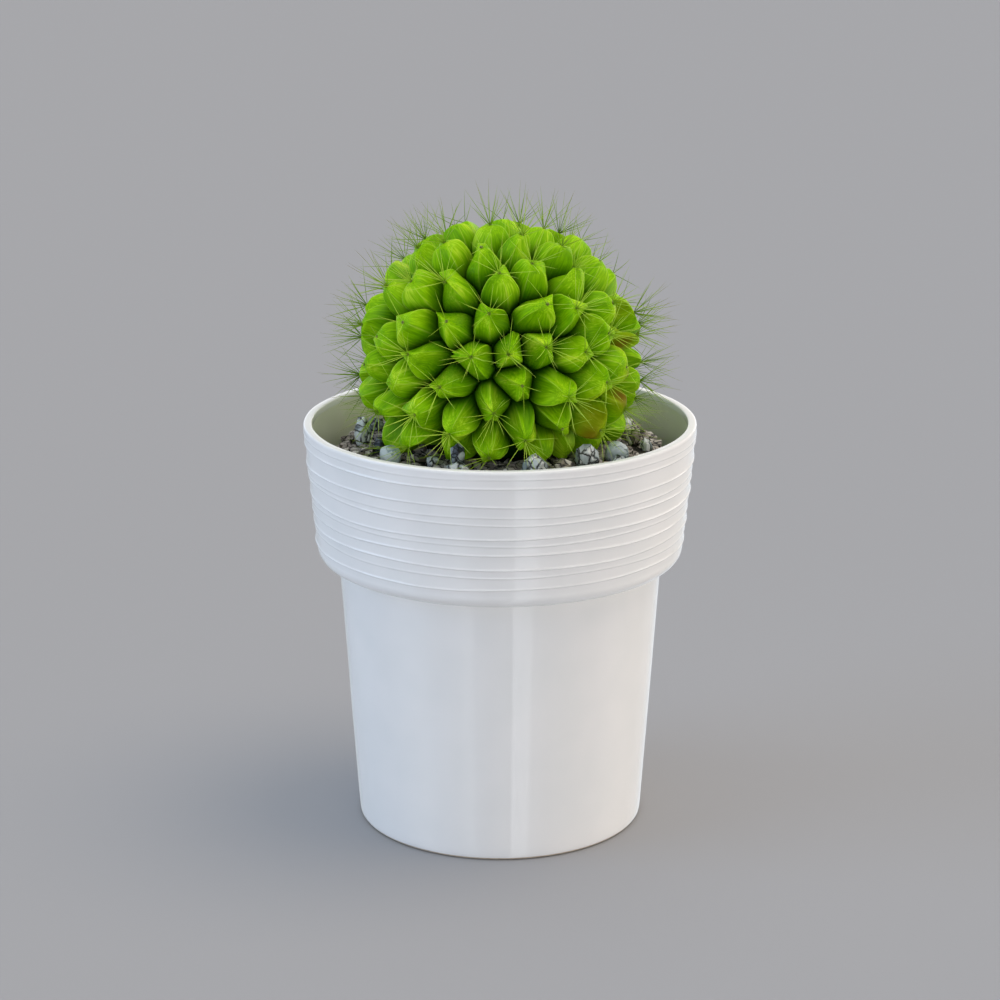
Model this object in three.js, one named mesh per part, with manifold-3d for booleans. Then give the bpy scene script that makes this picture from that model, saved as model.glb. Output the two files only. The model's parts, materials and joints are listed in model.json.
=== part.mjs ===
// A round, long-tubercled cactus in a glossy white pot with a ribbed collar, with pebbles lying on the soil.
// Millimetres, +Z up. The origin is the middle of the pot's foot, on the surface that it stands on.
// The front of the plant, where its growing point leans out, faces -Y.
import * as THREE from "three";
import { ConvexHull } from "three/addons/math/ConvexHull.js";
import { mergeVertices } from "three/addons/utils/BufferGeometryUtils.js";
import Module from "manifold-3d";

const wasm = await Module();
wasm.setup();

// ---- Driving dimensions ----

const RIM_RADIUS = 60; // the pot is 120 mm across its rim
const POT_HEIGHT = 127;
const FOOT_RADIUS = 44.3;
const BODY_TOP_RADIUS = 49.9; // where the tapering body meets the underside of the collar
const COLLAR_BOTTOM = 84.1; // height of the collar's underside
const COLLAR_BOTTOM_RADIUS = 56.5;
const UNDERSIDE_CURVE = 3.9; // radius of the collar's rounded lower edge
const WALL = 3.2; // thickness of the pot's wall
const FLOOR = 5; // thickness of the pot's floor
const FOOT_RECESS = 1.2; // the unglazed underside is hollowed inside its foot ring
const FOOT_RING_WIDTH = 6;
const ROUND_SIDES = 48; // facets round the pot and the soil

// The collar's throwing ridges, as distances below the rim, and how strongly each stands out.
const RIDGES = [
  { drop: 5.2, strength: 1.0 },
  { drop: 11.2, strength: 0.9 },
  { drop: 16.4, strength: 0.8 },
  { drop: 20.7, strength: 1.0 },
  { drop: 26.3, strength: 1.0 },
  { drop: 30.0, strength: 1.0 },
  { drop: 36.7, strength: 1.0 },
];
const RIDGE_RELIEF = 0.6; // how far the strongest ridge stands out
const RIDGE_HALF_HEIGHT = 0.35;
const RIDGE_GROOVE = 0.12; // how far the wall is drawn in below each ridge
const RIDGE_WANDER = 0.35; // how far a ridge strays up and down on its way round

const GAP = 0.3; // clearance between pieces that rest on each other
const PRESSED_GAP = 0.4; // clearance round a pebble in the hollow that it presses
const SOIL_WALL_LEVEL = 112.5; // height of the soil at the wall
const SOIL_TOP = 119.6; // height of the soil heaped round the plant
const SOIL_HEAP_RADIUS = 48; // the heap falls away to the wall outside this
const SOIL_RELIEF = 0.5;

const PLANT_HEIGHT = 145; // height of the plant's middle above the surface
const PLANT_RADIUS = 43.7; // from its middle to the tips of the tubercles
const FURROW_RADIUS = 28; // from its middle to the bottoms of the furrows between them
// Degrees: how high and how far right the growing point faces, and where the spiral starts.
const CROWN = { lean: 11.6, side: 3, phase: 78.7 };
const NECK_RADIUS = 17; // the root collar, which stands in a hole in the soil
const NECK_TAPER = 4;
const NECK_DEPTH = 14;

const TUBERCLES = 140; // on the whole ball, of which the lowest stay flat under the plant
const TIP_RADIUS = 2.4; // a tubercle's blunt tip, which carries its spines
const TIP_LEAN = 1.5; // how far a tip may stand off to one side
// A tubercle's outline: distance back from its tip, and the share of its own cell that it fills there.
const TUBERCLE_OUTLINE = [
  { back: 9, fill: 0.92 },
  { back: 2.8, fill: 0.66 },
];
const LOWEST_TIP = SOIL_TOP - 3;

const SPINES_EACH = 5;
const SPINE_LENGTH = 11;
const SPINE_THICKNESS = 0.5;
const SPINE_ROOT = 1.6; // how deep a spine's root is sunk in its tubercle

const PEBBLE_SINK = 0.2; // share of a pebble's height that lies in the soil

// ---- Small helpers ----

const rad = THREE.MathUtils.degToRad;

// A repeatable draw from 0 to 1 for item i, different for each use.
function draw(i, use) {
  const spread = Math.sin(i * 127.1 + use * 311.7) * 43758.5453;
  return spread - Math.floor(spread);
}

// The same draw, from -1 to 1.
function sway(i, use) {
  return 2 * draw(i, use) - 1;
}

// A closed three.js geometry as a solid that can be joined and cut.
function solid(geometry) {
  const bare = geometry.clone();
  for (const name of ["normal", "uv"]) bare.deleteAttribute(name);
  const merged = mergeVertices(bare, 1e-4);
  const made = new wasm.Manifold(
    new wasm.Mesh({
      numProp: 3,
      vertProperties: new Float32Array(merged.attributes.position.array),
      triVerts: new Uint32Array(merged.index.array),
    }),
  );
  return made;
}

// The largest body of a solid, so that no loose scrap is left by a cut.
function largestBody(made) {
  return made.decompose().reduce((a, b) => (b.volume() > a.volume() ? b : a));
}

function geometryOf(made) {
  const { vertProperties, triVerts } = made.getMesh();
  const geometry = new THREE.BufferGeometry();
  geometry.setAttribute("position", new THREE.BufferAttribute(vertProperties, 3));
  geometry.setIndex(new THREE.BufferAttribute(triVerts, 1));
  geometry.computeVertexNormals();
  return geometry;
}

// A profile of [radius, height] pairs, from the bottom of the axis round to its top, turned about Z.
function turned(profile, sides = ROUND_SIDES) {
  const points = profile.map(([radius, height]) => new THREE.Vector2(radius, height));
  return new THREE.LatheGeometry(points, sides).rotateX(Math.PI / 2);
}

// Moves every vertex of a geometry by a function of its place.
function reshape(geometry, move) {
  const place = new THREE.Vector3();
  const position = geometry.attributes.position;
  for (let i = 0; i < position.count; i++) {
    move(place.fromBufferAttribute(position, i));
    position.setXYZ(i, place.x, place.y, place.z);
  }
  return geometry;
}

// ---- The pot: one piece of glazed stoneware ----

// The collar flares slightly, in a straight line, from its underside to the rim.
function collarRadius(height) {
  const flareBottom = COLLAR_BOTTOM + UNDERSIDE_CURVE;
  const share = (height - flareBottom) / (POT_HEIGHT - 1.5 - flareBottom);
  return COLLAR_BOTTOM_RADIUS + (RIM_RADIUS - COLLAR_BOTTOM_RADIUS) * share;
}

// How far ridge number i strays up or down at an angle round the pot.
function ridgeWander(i, angle) {
  return RIDGE_WANDER * (Math.sin(angle + 2.4 * i) + 0.6 * Math.sin(3 * angle + 1.7 * i));
}

function potOutside() {
  const ringInner = FOOT_RADIUS - FOOT_RING_WIDTH;
  const body = [
    [0, FOOT_RECESS],
    [ringInner - 1, FOOT_RECESS],
    [ringInner, 0],
    [FOOT_RADIUS - 0.4, 0],
    [FOOT_RADIUS + 0.4, 0.7],
    [BODY_TOP_RADIUS, COLLAR_BOTTOM],
  ];
  const underside = [0, 30, 60, 90].map((degrees) => [
    COLLAR_BOTTOM_RADIUS - UNDERSIDE_CURVE * (1 - Math.sin(rad(degrees))),
    COLLAR_BOTTOM + UNDERSIDE_CURVE * (1 - Math.cos(rad(degrees))),
  ]);
  const ridges = [...RIDGES].reverse().flatMap(({ drop, strength }) => {
    const height = POT_HEIGHT - drop;
    const foot = height - RIDGE_HALF_HEIGHT;
    const crest = height + RIDGE_HALF_HEIGHT;
    return [
      [collarRadius(foot) - RIDGE_GROOVE, foot],
      [collarRadius(crest) + RIDGE_RELIEF * strength - RIDGE_GROOVE, crest],
    ];
  });
  const lip = [
    [RIM_RADIUS - 0.1, POT_HEIGHT - 3],
    [RIM_RADIUS, POT_HEIGHT - 1.4],
    [RIM_RADIUS - 0.4, POT_HEIGHT - 0.4],
    [RIM_RADIUS - 1.2, POT_HEIGHT],
  ];
  return [...body, ...underside, ...ridges, ...lip];
}

// The inside follows the outside at the wall's thickness, from the rim down to the floor.
const POT_INSIDE = [
  [RIM_RADIUS - 2, POT_HEIGHT - 0.4],
  [RIM_RADIUS - 2.4, POT_HEIGHT - 1.2],
  [RIM_RADIUS - 3.8, POT_HEIGHT - 9],
  [collarRadius(108) - WALL, 108],
  [COLLAR_BOTTOM_RADIUS - WALL, COLLAR_BOTTOM + 7],
  [COLLAR_BOTTOM_RADIUS - WALL - 2, COLLAR_BOTTOM + 2.5],
  [BODY_TOP_RADIUS - WALL, COLLAR_BOTTOM - 2.5],
  [FOOT_RADIUS - WALL + 1, FLOOR + 3],
  [FOOT_RADIUS - WALL - 2, FLOOR],
  [0, FLOOR],
];

function pot() {
  const geometry = turned([...potOutside(), ...POT_INSIDE]);
  const lowestRidge = COLLAR_BOTTOM + 4.5;
  const highestRidge = POT_HEIGHT - 3.5;
  return reshape(geometry, (place) => {
    const radius = Math.hypot(place.x, place.y);
    const onCollar = radius > collarRadius(place.z) - 1 && place.z > lowestRidge && place.z < highestRidge;
    if (!onCollar) return;
    const nearest = RIDGES.reduce((best, ridge, i) => {
      const away = Math.abs(POT_HEIGHT - ridge.drop - place.z);
      return away < best.away ? { away, i } : best;
    }, { away: Infinity, i: 0 });
    place.z += ridgeWander(nearest.i, Math.atan2(place.y, place.x));
  });
}

// ---- The soil: fills the pot, heaped round the plant, with a plain hole for its neck ----

const NECK_BOTTOM = SOIL_TOP - NECK_DEPTH;

function soilBlank() {
  const wall = POT_INSIDE.slice(3, -1).reverse();
  const side = wall.map(([radius, height]) => [radius - GAP, height === FLOOR ? FLOOR + GAP : height]);
  return turned([
    [0, FLOOR + GAP],
    ...side,
    [RIM_RADIUS - 5, SOIL_WALL_LEVEL],
    [SOIL_HEAP_RADIUS + 2.6, SOIL_WALL_LEVEL + 2.2],
    [SOIL_HEAP_RADIUS, SOIL_TOP - 1.2],
    [SOIL_HEAP_RADIUS - 5, SOIL_TOP],
    [SOIL_HEAP_RADIUS - 12, SOIL_TOP],
    [NECK_RADIUS + GAP, SOIL_TOP],
    [NECK_RADIUS - NECK_TAPER + GAP, NECK_BOTTOM - GAP],
    [0, NECK_BOTTOM - GAP],
  ]);
}

// Lumps in the heap, as a smooth sum of waves.
function lumps(x, y) {
  const long = Math.sin(0.31 * x + 1.3) * Math.sin(0.37 * y + 0.4);
  const short = Math.sin(0.83 * x + 0.53 * y) * Math.cos(0.61 * x - 0.77 * y);
  return SOIL_RELIEF * (0.6 * long + 0.4 * short);
}

function soilShape() {
  return reshape(soilBlank(), (place) => {
    const radius = Math.hypot(place.x, place.y);
    if (place.z > SOIL_WALL_LEVEL + 1 && radius > NECK_RADIUS + 3) place.z += lumps(place.x, place.y);
  });
}

// ---- The pebbles on the soil ----

// Where each pebble lies: its angle round the plant, its distance from the middle, and its length, width and height.
const FRONT_PEBBLES = [
  { angle: -176, out: 42.2, size: [6.0, 5.4, 10.8], kind: "marbled" },
  { angle: -167, out: 37.4, size: [4.4, 4.2, 5.0], kind: "dark" },
  { angle: -144, out: 40.4, size: [7.8, 6.8, 7.2], kind: "pale" },
  { angle: -126, out: 34.0, size: [4.4, 3.8, 4.4], kind: "marbled" },
  { angle: -112, out: 33.6, size: [5.2, 4.6, 10.6], kind: "dark" },
  { angle: -108, out: 39.6, size: [7.4, 5.2, 5.6], kind: "marbled" },
  { angle: -75, out: 39.4, size: [8.2, 6.8, 8.2], kind: "marbled" },
  { angle: -62, out: 39.2, size: [6.2, 5.2, 5.6], kind: "brown" },
  { angle: -48, out: 38.6, size: [7.6, 6.6, 9.4], kind: "marbled" },
  { angle: -31, out: 40.6, size: [8.2, 6.6, 7.8], kind: "pale" },
  { angle: -40, out: 45.6, size: [5.6, 4.2, 5.4], kind: "marbled" },
  { angle: -11, out: 45.2, size: [4.2, 3.8, 4.6], kind: "marbled" },
  { angle: -2, out: 41.2, size: [5.6, 5.2, 6.4], kind: "brown" },
];
const BACK_PEBBLES = 9; // spread over the half that faces away

function pebblePlaces() {
  const kinds = ["marbled", "pale", "brown", "dark"];
  const back = Array.from({ length: BACK_PEBBLES }, (_, i) => {
    const long = 5.4 + 1.2 * sway(i, 21);
    return {
      angle: 12 + (152 * (i + 0.5)) / BACK_PEBBLES + 4 * sway(i, 22),
      out: 42.4 + 1.2 * sway(i, 23),
      size: [long, long * 0.84, long * (0.86 + 0.2 * sway(i, 24))],
      kind: kinds[i % kinds.length],
    };
  });
  return [...FRONT_PEBBLES, ...back];
}

function pebbleMiddle({ angle, out, size }) {
  const height = SOIL_TOP + size[2] * (0.5 - PEBBLE_SINK);
  return new THREE.Vector3(out * Math.cos(rad(angle)), out * Math.sin(rad(angle)), height);
}

// A worn, slightly angular stone, grown by a margin on all sides where it is used to press its own hollow.
function pebbleShape(pebble, number, margin = 0) {
  const half = pebble.size.map((length) => length / 2 + margin);
  const stone = reshape(new THREE.DodecahedronGeometry(1, 0), (place) => {
    const worn = 1 + 0.1 * Math.sin(3.1 * place.x + 2.3 * place.y + 1.9 * place.z + number);
    place.multiplyScalar(worn);
  });
  stone.computeBoundingBox();
  const reach = stone.boundingBox.getSize(new THREE.Vector3()).multiplyScalar(0.5);
  stone.scale(half[0] / reach.x, half[1] / reach.y, half[2] / reach.z);
  stone.rotateZ(rad(pebble.angle + 90 + 25 * sway(number, 25)));
  return stone.translate(...pebbleMiddle(pebble).toArray());
}

// ---- The cactus: one living body of tubercles, spines and neck ----

const MIDDLE = new THREE.Vector3(0, 0, PLANT_HEIGHT);
const CROWN_AXIS = new THREE.Vector3(
  Math.sin(rad(CROWN.side)) * Math.cos(rad(CROWN.lean)),
  -Math.cos(rad(CROWN.side)) * Math.cos(rad(CROWN.lean)),
  Math.sin(rad(CROWN.lean)),
);
const CROWN_RIGHT = new THREE.Vector3(0, 0, 1).cross(CROWN_AXIS).normalize();
const CROWN_UP = new THREE.Vector3().crossVectors(CROWN_AXIS, CROWN_RIGHT).normalize();
const GOLDEN_ANGLE = Math.PI * (3 - Math.sqrt(5));

// Tubercle number i sits on a spiral that starts at the growing point. The youngest are crowded and short,
// and those that press against a pebble stay short too.
function tubercle(i, pebbles) {
  const even = Math.acos(1 - (2 * (i + 0.5)) / TUBERCLES);
  const polar = even * (1 - 0.28 * Math.exp(-((even / 0.26) ** 2))) + 0.03 * sway(i, 1);
  const turn = rad(CROWN.phase) - i * GOLDEN_ANGLE + 0.05 * sway(i, 2);
  const outward = new THREE.Vector3()
    .addScaledVector(CROWN_AXIS, Math.cos(polar))
    .addScaledVector(CROWN_RIGHT, Math.sin(polar) * Math.cos(turn))
    .addScaledVector(CROWN_UP, Math.sin(polar) * Math.sin(turn))
    .normalize();
  const youth = Math.exp(-((even / 0.5) ** 2));
  const freeReach = PLANT_RADIUS - 1.2 * youth + 1.1 * sway(i, 3);
  const tip = MIDDLE.clone().addScaledVector(outward, freeReach);
  const squeezes = pebbles.map((pebble) => {
    const space = pebbleMiddle(pebble).distanceTo(tip) - Math.max(...pebble.size) / 2;
    return THREE.MathUtils.clamp(4.5 - space, 0, 4.5);
  });
  const reach = freeReach - Math.max(...squeezes);
  const aboveSoil = PLANT_HEIGHT + outward.z * reach > LOWEST_TIP;
  const chance = new THREE.Vector3(sway(i, 7), sway(i, 8), sway(i, 9));
  const lean = chance.multiplyScalar(TIP_LEAN).projectOnPlane(outward);
  return { number: i, outward, reach, lean, aboveSoil };
}

// The furrows meet at the corners of each tubercle's own cell. Neighbouring cells share their corners.
function cells(tubercles) {
  const hull = new ConvexHull().setFromPoints(tubercles.map(({ outward }) => outward));
  const around = new Map(tubercles.map(({ outward }) => [outward, []]));
  const corners = hull.faces.map((face, index) => {
    for (let edge = face.edge, k = 0; k < 3; k++, edge = edge.next) around.get(edge.head().point).push(index);
    return face.normal.clone().normalize();
  });
  const rings = tubercles.map(({ outward }) => {
    const frame = aim(outward, 0);
    const sideways = new THREE.Vector3(1, 0, 0).applyQuaternion(frame);
    const upward = new THREE.Vector3(0, 1, 0).applyQuaternion(frame);
    const angle = (index) => Math.atan2(corners[index].dot(upward), corners[index].dot(sideways));
    return around.get(outward).sort((a, b) => angle(a) - angle(b));
  });
  return { corners, rings };
}

// Turns +Z to a direction, after a twist about it.
function aim(direction, twist) {
  const turnTo = new THREE.Quaternion().setFromUnitVectors(new THREE.Vector3(0, 0, 1), direction);
  return turnTo.multiply(new THREE.Quaternion().setFromAxisAngle(new THREE.Vector3(0, 0, 1), twist));
}

// One closed skin: from the furrows of each cell up to its tubercle's shoulders and its blunt tip.
function flesh(tubercles) {
  const { corners, rings } = cells(tubercles);
  const places = corners.map((corner) => MIDDLE.clone().addScaledVector(corner, FURROW_RADIUS));
  const faces = [];
  tubercles.forEach(({ outward, reach, lean, aboveSoil }, i) => {
    const ring = rings[i];
    const tangents = ring.map((index) => corners[index].clone().projectOnPlane(outward));
    const meanSpread = tangents.reduce((sum, tangent) => sum + tangent.length(), 0) / ring.length;
    const level = (distance, offset, leanShare) => {
      const first = places.length;
      for (const tangent of tangents) {
        const place = MIDDLE.clone().addScaledVector(outward, distance).addScaledVector(lean, leanShare);
        places.push(place.addScaledVector(tangent.clone().normalize(), offset(tangent.length())));
      }
      return ring.map((_, k) => first + k);
    };
    const levels = [ring];
    if (aboveSoil) {
      TUBERCLE_OUTLINE.forEach(({ back, fill }, row) => {
        const distance = reach - back;
        const leanShare = ((row + 1) / 3) ** 2;
        levels.push(level(distance, (spread) => fill * distance * (0.75 * spread + 0.25 * meanSpread), leanShare));
      });
      levels.push(level(reach, () => TIP_RADIUS, 1));
    }
    for (let row = 1; row < levels.length; row++) {
      ring.forEach((_, k) => {
        const next = (k + 1) % ring.length;
        const [a, b, c, d] = [levels[row - 1][k], levels[row - 1][next], levels[row][next], levels[row][k]];
        faces.push(a, b, c, a, c, d);
      });
    }
    const top = levels.at(-1);
    for (let k = 1; k < top.length - 1; k++) faces.push(top[0], top[k], top[k + 1]);
  });
  const geometry = new THREE.BufferGeometry();
  geometry.setAttribute("position", new THREE.Float32BufferAttribute(places.flatMap((place) => place.toArray()), 3));
  geometry.setIndex(faces);
  return geometry;
}

// Spine k of a tubercle: the first stands nearly straight out, and the others fan out around it.
function spine(k, { number, outward, reach, lean: tipLean }) {
  const use = 30 + 3 * k;
  const lean = k === 0 ? rad(8 + 8 * draw(number, use)) : rad(40 + 16 * draw(number, use));
  const turn = (k * 2 * Math.PI) / (SPINES_EACH - 1) + 0.4 * sway(number, use + 1) + 6 * draw(number, 29);
  const frame = aim(outward, turn);
  const direction = new THREE.Vector3(Math.sin(lean), 0, Math.cos(lean)).applyQuaternion(frame);
  const pad = new THREE.Vector3(k === 0 ? 0 : 0.8, 0, 0).applyQuaternion(frame);
  const tip = MIDDLE.clone().addScaledVector(outward, reach).add(tipLean);
  const foot = tip.add(pad).addScaledVector(direction, -SPINE_ROOT);
  const length = SPINE_LENGTH * (1 + 0.15 * sway(number, use + 2)) + SPINE_ROOT;
  return { foot, direction, length };
}

function spineShape({ foot, direction, length }) {
  const needle = new THREE.ConeGeometry(SPINE_THICKNESS / 2, length, 3).rotateX(Math.PI / 2);
  needle.translate(0, 0, length / 2);
  const place = new THREE.Matrix4().compose(foot, aim(direction, 0), new THREE.Vector3(1, 1, 1));
  return needle.applyMatrix4(place);
}

// A spine is left out where it would run into the soil, a pebble or the pot's wall.
function hasRoom({ foot, direction, length }, pebbles) {
  return Array.from({ length: 10 }, (_, k) => (k + 1) / 10).every((share) => {
    const at = foot.clone().addScaledVector(direction, length * share);
    const overSoil = share < 0.3 || at.z > SOIL_TOP + SOIL_RELIEF + 0.4;
    const insideRim = Math.hypot(at.x, at.y) < RIM_RADIUS - 5 || at.z > POT_HEIGHT + 1;
    const clearOfPebbles = pebbles.every(({ angle, out, size }) => {
      const away = Math.hypot(at.x - out * Math.cos(rad(angle)), at.y - out * Math.sin(rad(angle)));
      return away > size[0] / 2 + 1.2 || at.z > SOIL_TOP + size[2] + 0.8;
    });
    return overSoil && insideRim && clearOfPebbles;
  });
}

function neck() {
  return turned([
    [0, NECK_BOTTOM],
    [NECK_RADIUS - NECK_TAPER, NECK_BOTTOM],
    [NECK_RADIUS, SOIL_TOP],
    [NECK_RADIUS, SOIL_TOP + 4],
    [0, SOIL_TOP + 4],
  ], 24);
}

// The space that the soil takes up, with clearance: the flesh ends flat just above it.
function groundBlank() {
  const level = SOIL_TOP + SOIL_RELIEF + GAP;
  return turned([
    [0, NECK_BOTTOM],
    [RIM_RADIUS, NECK_BOTTOM],
    [RIM_RADIUS, level],
    [0, level],
  ], 12);
}

function cactus(pebbles) {
  const tubercles = Array.from({ length: TUBERCLES }, (_, i) => tubercle(i, pebbles));
  const grown = tubercles.filter(({ aboveSoil }) => aboveSoil);
  const hollows = pebbles.map((pebble, n) => solid(pebbleShape(pebble, n, PRESSED_GAP)));
  const ball = solid(flesh(tubercles)).subtract(wasm.Manifold.union([solid(groundBlank()), ...hollows]));
  const spines = grown
    .flatMap((one) => Array.from({ length: SPINES_EACH }, (_, k) => spine(k, one)))
    .filter((one) => hasRoom(one, pebbles))
    .map((one) => solid(spineShape(one)));
  return geometryOf(largestBody(wasm.Manifold.union([ball, solid(neck()), ...spines])));
}

// ---- The assembly ----

const glaze = new THREE.MeshStandardMaterial({ color: 0xe6e8ea, roughness: 0.15, metalness: 0 });
const grit = new THREE.MeshStandardMaterial({ color: 0x4a423d, roughness: 0.95, metalness: 0 });
const skin = new THREE.MeshStandardMaterial({ color: 0x6fa81f, roughness: 0.45, metalness: 0 });
const pebbleFinish = {
  marbled: new THREE.MeshStandardMaterial({ color: 0x9aa5a8, roughness: 0.5, metalness: 0 }),
  pale: new THREE.MeshStandardMaterial({ color: 0xa9bcc2, roughness: 0.5, metalness: 0 }),
  brown: new THREE.MeshStandardMaterial({ color: 0x8f877b, roughness: 0.6, metalness: 0 }),
  dark: new THREE.MeshStandardMaterial({ color: 0x5b5d68, roughness: 0.4, metalness: 0 }),
};

function piece(name, geometry, material) {
  const mesh = new THREE.Mesh(geometry, material);
  mesh.name = name;
  return mesh;
}

const pottedCactus = new THREE.Group();
const pebbles = pebblePlaces();
const pressed = pebbles.map((pebble, n) => solid(pebbleShape(pebble, n, PRESSED_GAP)));
const soil = largestBody(solid(soilShape()).subtract(wasm.Manifold.union(pressed)));

pottedCactus.add(piece("pot", pot(), glaze));
pottedCactus.add(piece("soil", geometryOf(soil), grit));
pottedCactus.add(piece("cactus", cactus(pebbles), skin));
pebbles.forEach((pebble, n) => {
  const number = String(n + 1).padStart(2, "0");
  pottedCactus.add(piece(`pebble_${number}`, pebbleShape(pebble, n), pebbleFinish[pebble.kind]));
});

export default pottedCactus;
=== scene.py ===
# %% [markdown]
# # A round cactus in a glossy white pot
#
# This lesson dresses a plain, measured model of a potted cactus. The measured model gives the size and the
# place of every piece. Here each piece is modelled again with the fine form of the real one, gets a material
# that is named for what it is made of, and stands on a plain grey floor in soft light.
#
# Sizes are written in millimetres, as they would be measured on the real plant, and turned to metres by MM.

# %% Load the measured model
import json
import math
import random

import bpy
import numpy as np
from mathutils import Matrix, Vector, noise


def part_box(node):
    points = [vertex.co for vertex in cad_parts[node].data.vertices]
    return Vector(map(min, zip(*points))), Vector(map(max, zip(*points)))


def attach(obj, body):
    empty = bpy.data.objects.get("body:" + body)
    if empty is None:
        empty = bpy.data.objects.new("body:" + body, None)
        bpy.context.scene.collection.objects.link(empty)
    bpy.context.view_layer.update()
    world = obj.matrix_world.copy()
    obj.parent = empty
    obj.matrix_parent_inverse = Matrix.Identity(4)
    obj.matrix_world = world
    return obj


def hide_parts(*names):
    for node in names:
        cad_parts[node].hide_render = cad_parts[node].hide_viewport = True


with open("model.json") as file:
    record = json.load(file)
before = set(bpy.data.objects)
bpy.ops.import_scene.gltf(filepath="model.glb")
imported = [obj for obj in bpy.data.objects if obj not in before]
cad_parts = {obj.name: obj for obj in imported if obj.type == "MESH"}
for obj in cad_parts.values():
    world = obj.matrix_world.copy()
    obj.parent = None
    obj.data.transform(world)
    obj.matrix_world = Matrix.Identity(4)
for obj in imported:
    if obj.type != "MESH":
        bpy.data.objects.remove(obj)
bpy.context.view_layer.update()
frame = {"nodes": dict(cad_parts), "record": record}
MM = 0.001

# %% [markdown]
# ## The camera
#
# The picture that this scene follows looks slightly down on the pot with a long lens, so that the rim is a
# shallow ellipse and the upright lines hardly converge. The lens, the tilt and the distance were worked out
# from the outline of the pot.

# %% Place the camera
CAMERA_DISTANCE = 852.4
CAMERA_TILT = math.radians(16.48)  # looking down
CAMERA_TARGET = Vector((0, 0, 101.1))
CAMERA_LENS = 99.46
SENSOR_WIDTH = 36


def add_object(name, data):
    """Adds an object that holds a mesh, a lamp or a camera."""
    made = bpy.data.objects.new(name, data)
    bpy.context.scene.collection.objects.link(made)
    return made


camera_back = Vector((0, -math.cos(CAMERA_TILT), math.sin(CAMERA_TILT)))
camera = add_object("camera", bpy.data.cameras.new("camera"))
camera.location = (CAMERA_TARGET + CAMERA_DISTANCE * camera_back) * MM
camera.rotation_euler = (math.pi / 2 - CAMERA_TILT, 0, 0)
camera.data.lens = CAMERA_LENS
camera.data.sensor_width = SENSOR_WIDTH
camera.data.clip_start = 0.01
bpy.context.scene.camera = camera
bpy.context.scene.view_settings.view_transform = "Standard"
print("camera at", tuple(round(part, 3) for part in camera.location))

# %% [markdown]
# ## Small helpers for modelling
#
# Operators act on whatever is selected, so each step starts from nothing selected. A finished piece keeps
# its object at the origin and its place in its mesh, because patterns and later tools count on that.

# %% Helpers for selecting and finishing
def deselect_everything():
    if bpy.context.object and bpy.context.object.mode != "OBJECT":
        bpy.ops.object.mode_set(mode="OBJECT")
    bpy.ops.object.select_all(action="DESELECT")


def take(*pieces):
    """Selects these pieces alone and makes the first one active."""
    deselect_everything()
    for piece in pieces:
        piece.select_set(True)
    bpy.context.view_layer.objects.active = pieces[0]


def open_mesh(piece, select="SELECT"):
    """Opens a piece in edit mode, with all of it selected or nothing."""
    take(piece)
    bpy.ops.object.mode_set(mode="EDIT")
    bpy.ops.mesh.select_all(action=select)


def close_mesh():
    bpy.ops.mesh.select_mode(type="VERT")
    bpy.ops.object.mode_set(mode="OBJECT")


def add_primitive(shape, name, **size):
    deselect_everything()
    getattr(bpy.ops.mesh, f"primitive_{shape}_add")(**size)
    piece = bpy.context.object
    piece.name = piece.data.name = name
    return piece


def weld_and_face_out(piece, distance=0.001):
    open_mesh(piece)
    bpy.ops.mesh.remove_doubles(threshold=distance * MM)
    bpy.ops.mesh.normals_make_consistent(inside=False)
    close_mesh()


def shade(piece, angle=None):
    """Shades a piece smooth, all over or only across edges that turn by less than an angle in degrees."""
    take(piece)
    if angle is None:
        bpy.ops.object.shade_smooth()
    else:
        bpy.ops.object.shade_smooth_by_angle(angle=math.radians(angle))


# %% [markdown]
# ## The pot
#
# The pot is thrown stoneware: a plain tapering body, and a wide collar that overhangs it with a rounded
# lower edge. A throwing or slip-cast form like this is one outline turned about an axis, so the outline is
# drawn point by point, from the middle of the foot up the outside, over the lip and down the inside.

# %% Draw the outline of the pot
RIM_RADIUS = 60.0
POT_HEIGHT = 127.0
FOOT_RADIUS = 44.3
FOOT_RING_WIDTH = 6.0
FOOT_RECESS = 1.2
BODY_TOP_RADIUS = 49.9
COLLAR_BOTTOM = 84.1
COLLAR_BOTTOM_RADIUS = 56.5
COLLAR_EDGE = 4.3  # radius of the collar's rounded lower edge
WALL = 3.2
FLOOR = 5.0
RIDGE_ROW = 0.16  # height of one row of faces on the collar


def collar_radius(height):
    low = COLLAR_BOTTOM + COLLAR_EDGE
    share = (height - low) / (POT_HEIGHT - 1.5 - low)
    return COLLAR_BOTTOM_RADIUS + (RIM_RADIUS - COLLAR_BOTTOM_RADIUS) * share


def arc(centre, radius, start, end, count):
    angles = np.radians(np.linspace(start, end, count))
    return [(centre[0] + radius * math.cos(a), centre[1] + radius * math.sin(a)) for a in angles]


def foot_outline():
    ring_inner = FOOT_RADIUS - FOOT_RING_WIDTH
    recess = [(0, FOOT_RECESS), (ring_inner * 0.5, FOOT_RECESS), (ring_inner - 1.2, FOOT_RECESS)]
    inner_edge = [(ring_inner - 0.6, FOOT_RECESS * 0.8), (ring_inner - 0.1, 0.15), (ring_inner + 0.3, 0)]
    outer_edge = [(FOOT_RADIUS - 1.3, 0), (FOOT_RADIUS - 0.9, 0.06), (FOOT_RADIUS - 0.45, 0.3)]
    outer_edge += [(FOOT_RADIUS - 0.1, 0.8), (FOOT_RADIUS + 0.1, 1.6)]
    return recess + inner_edge + outer_edge


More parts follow.
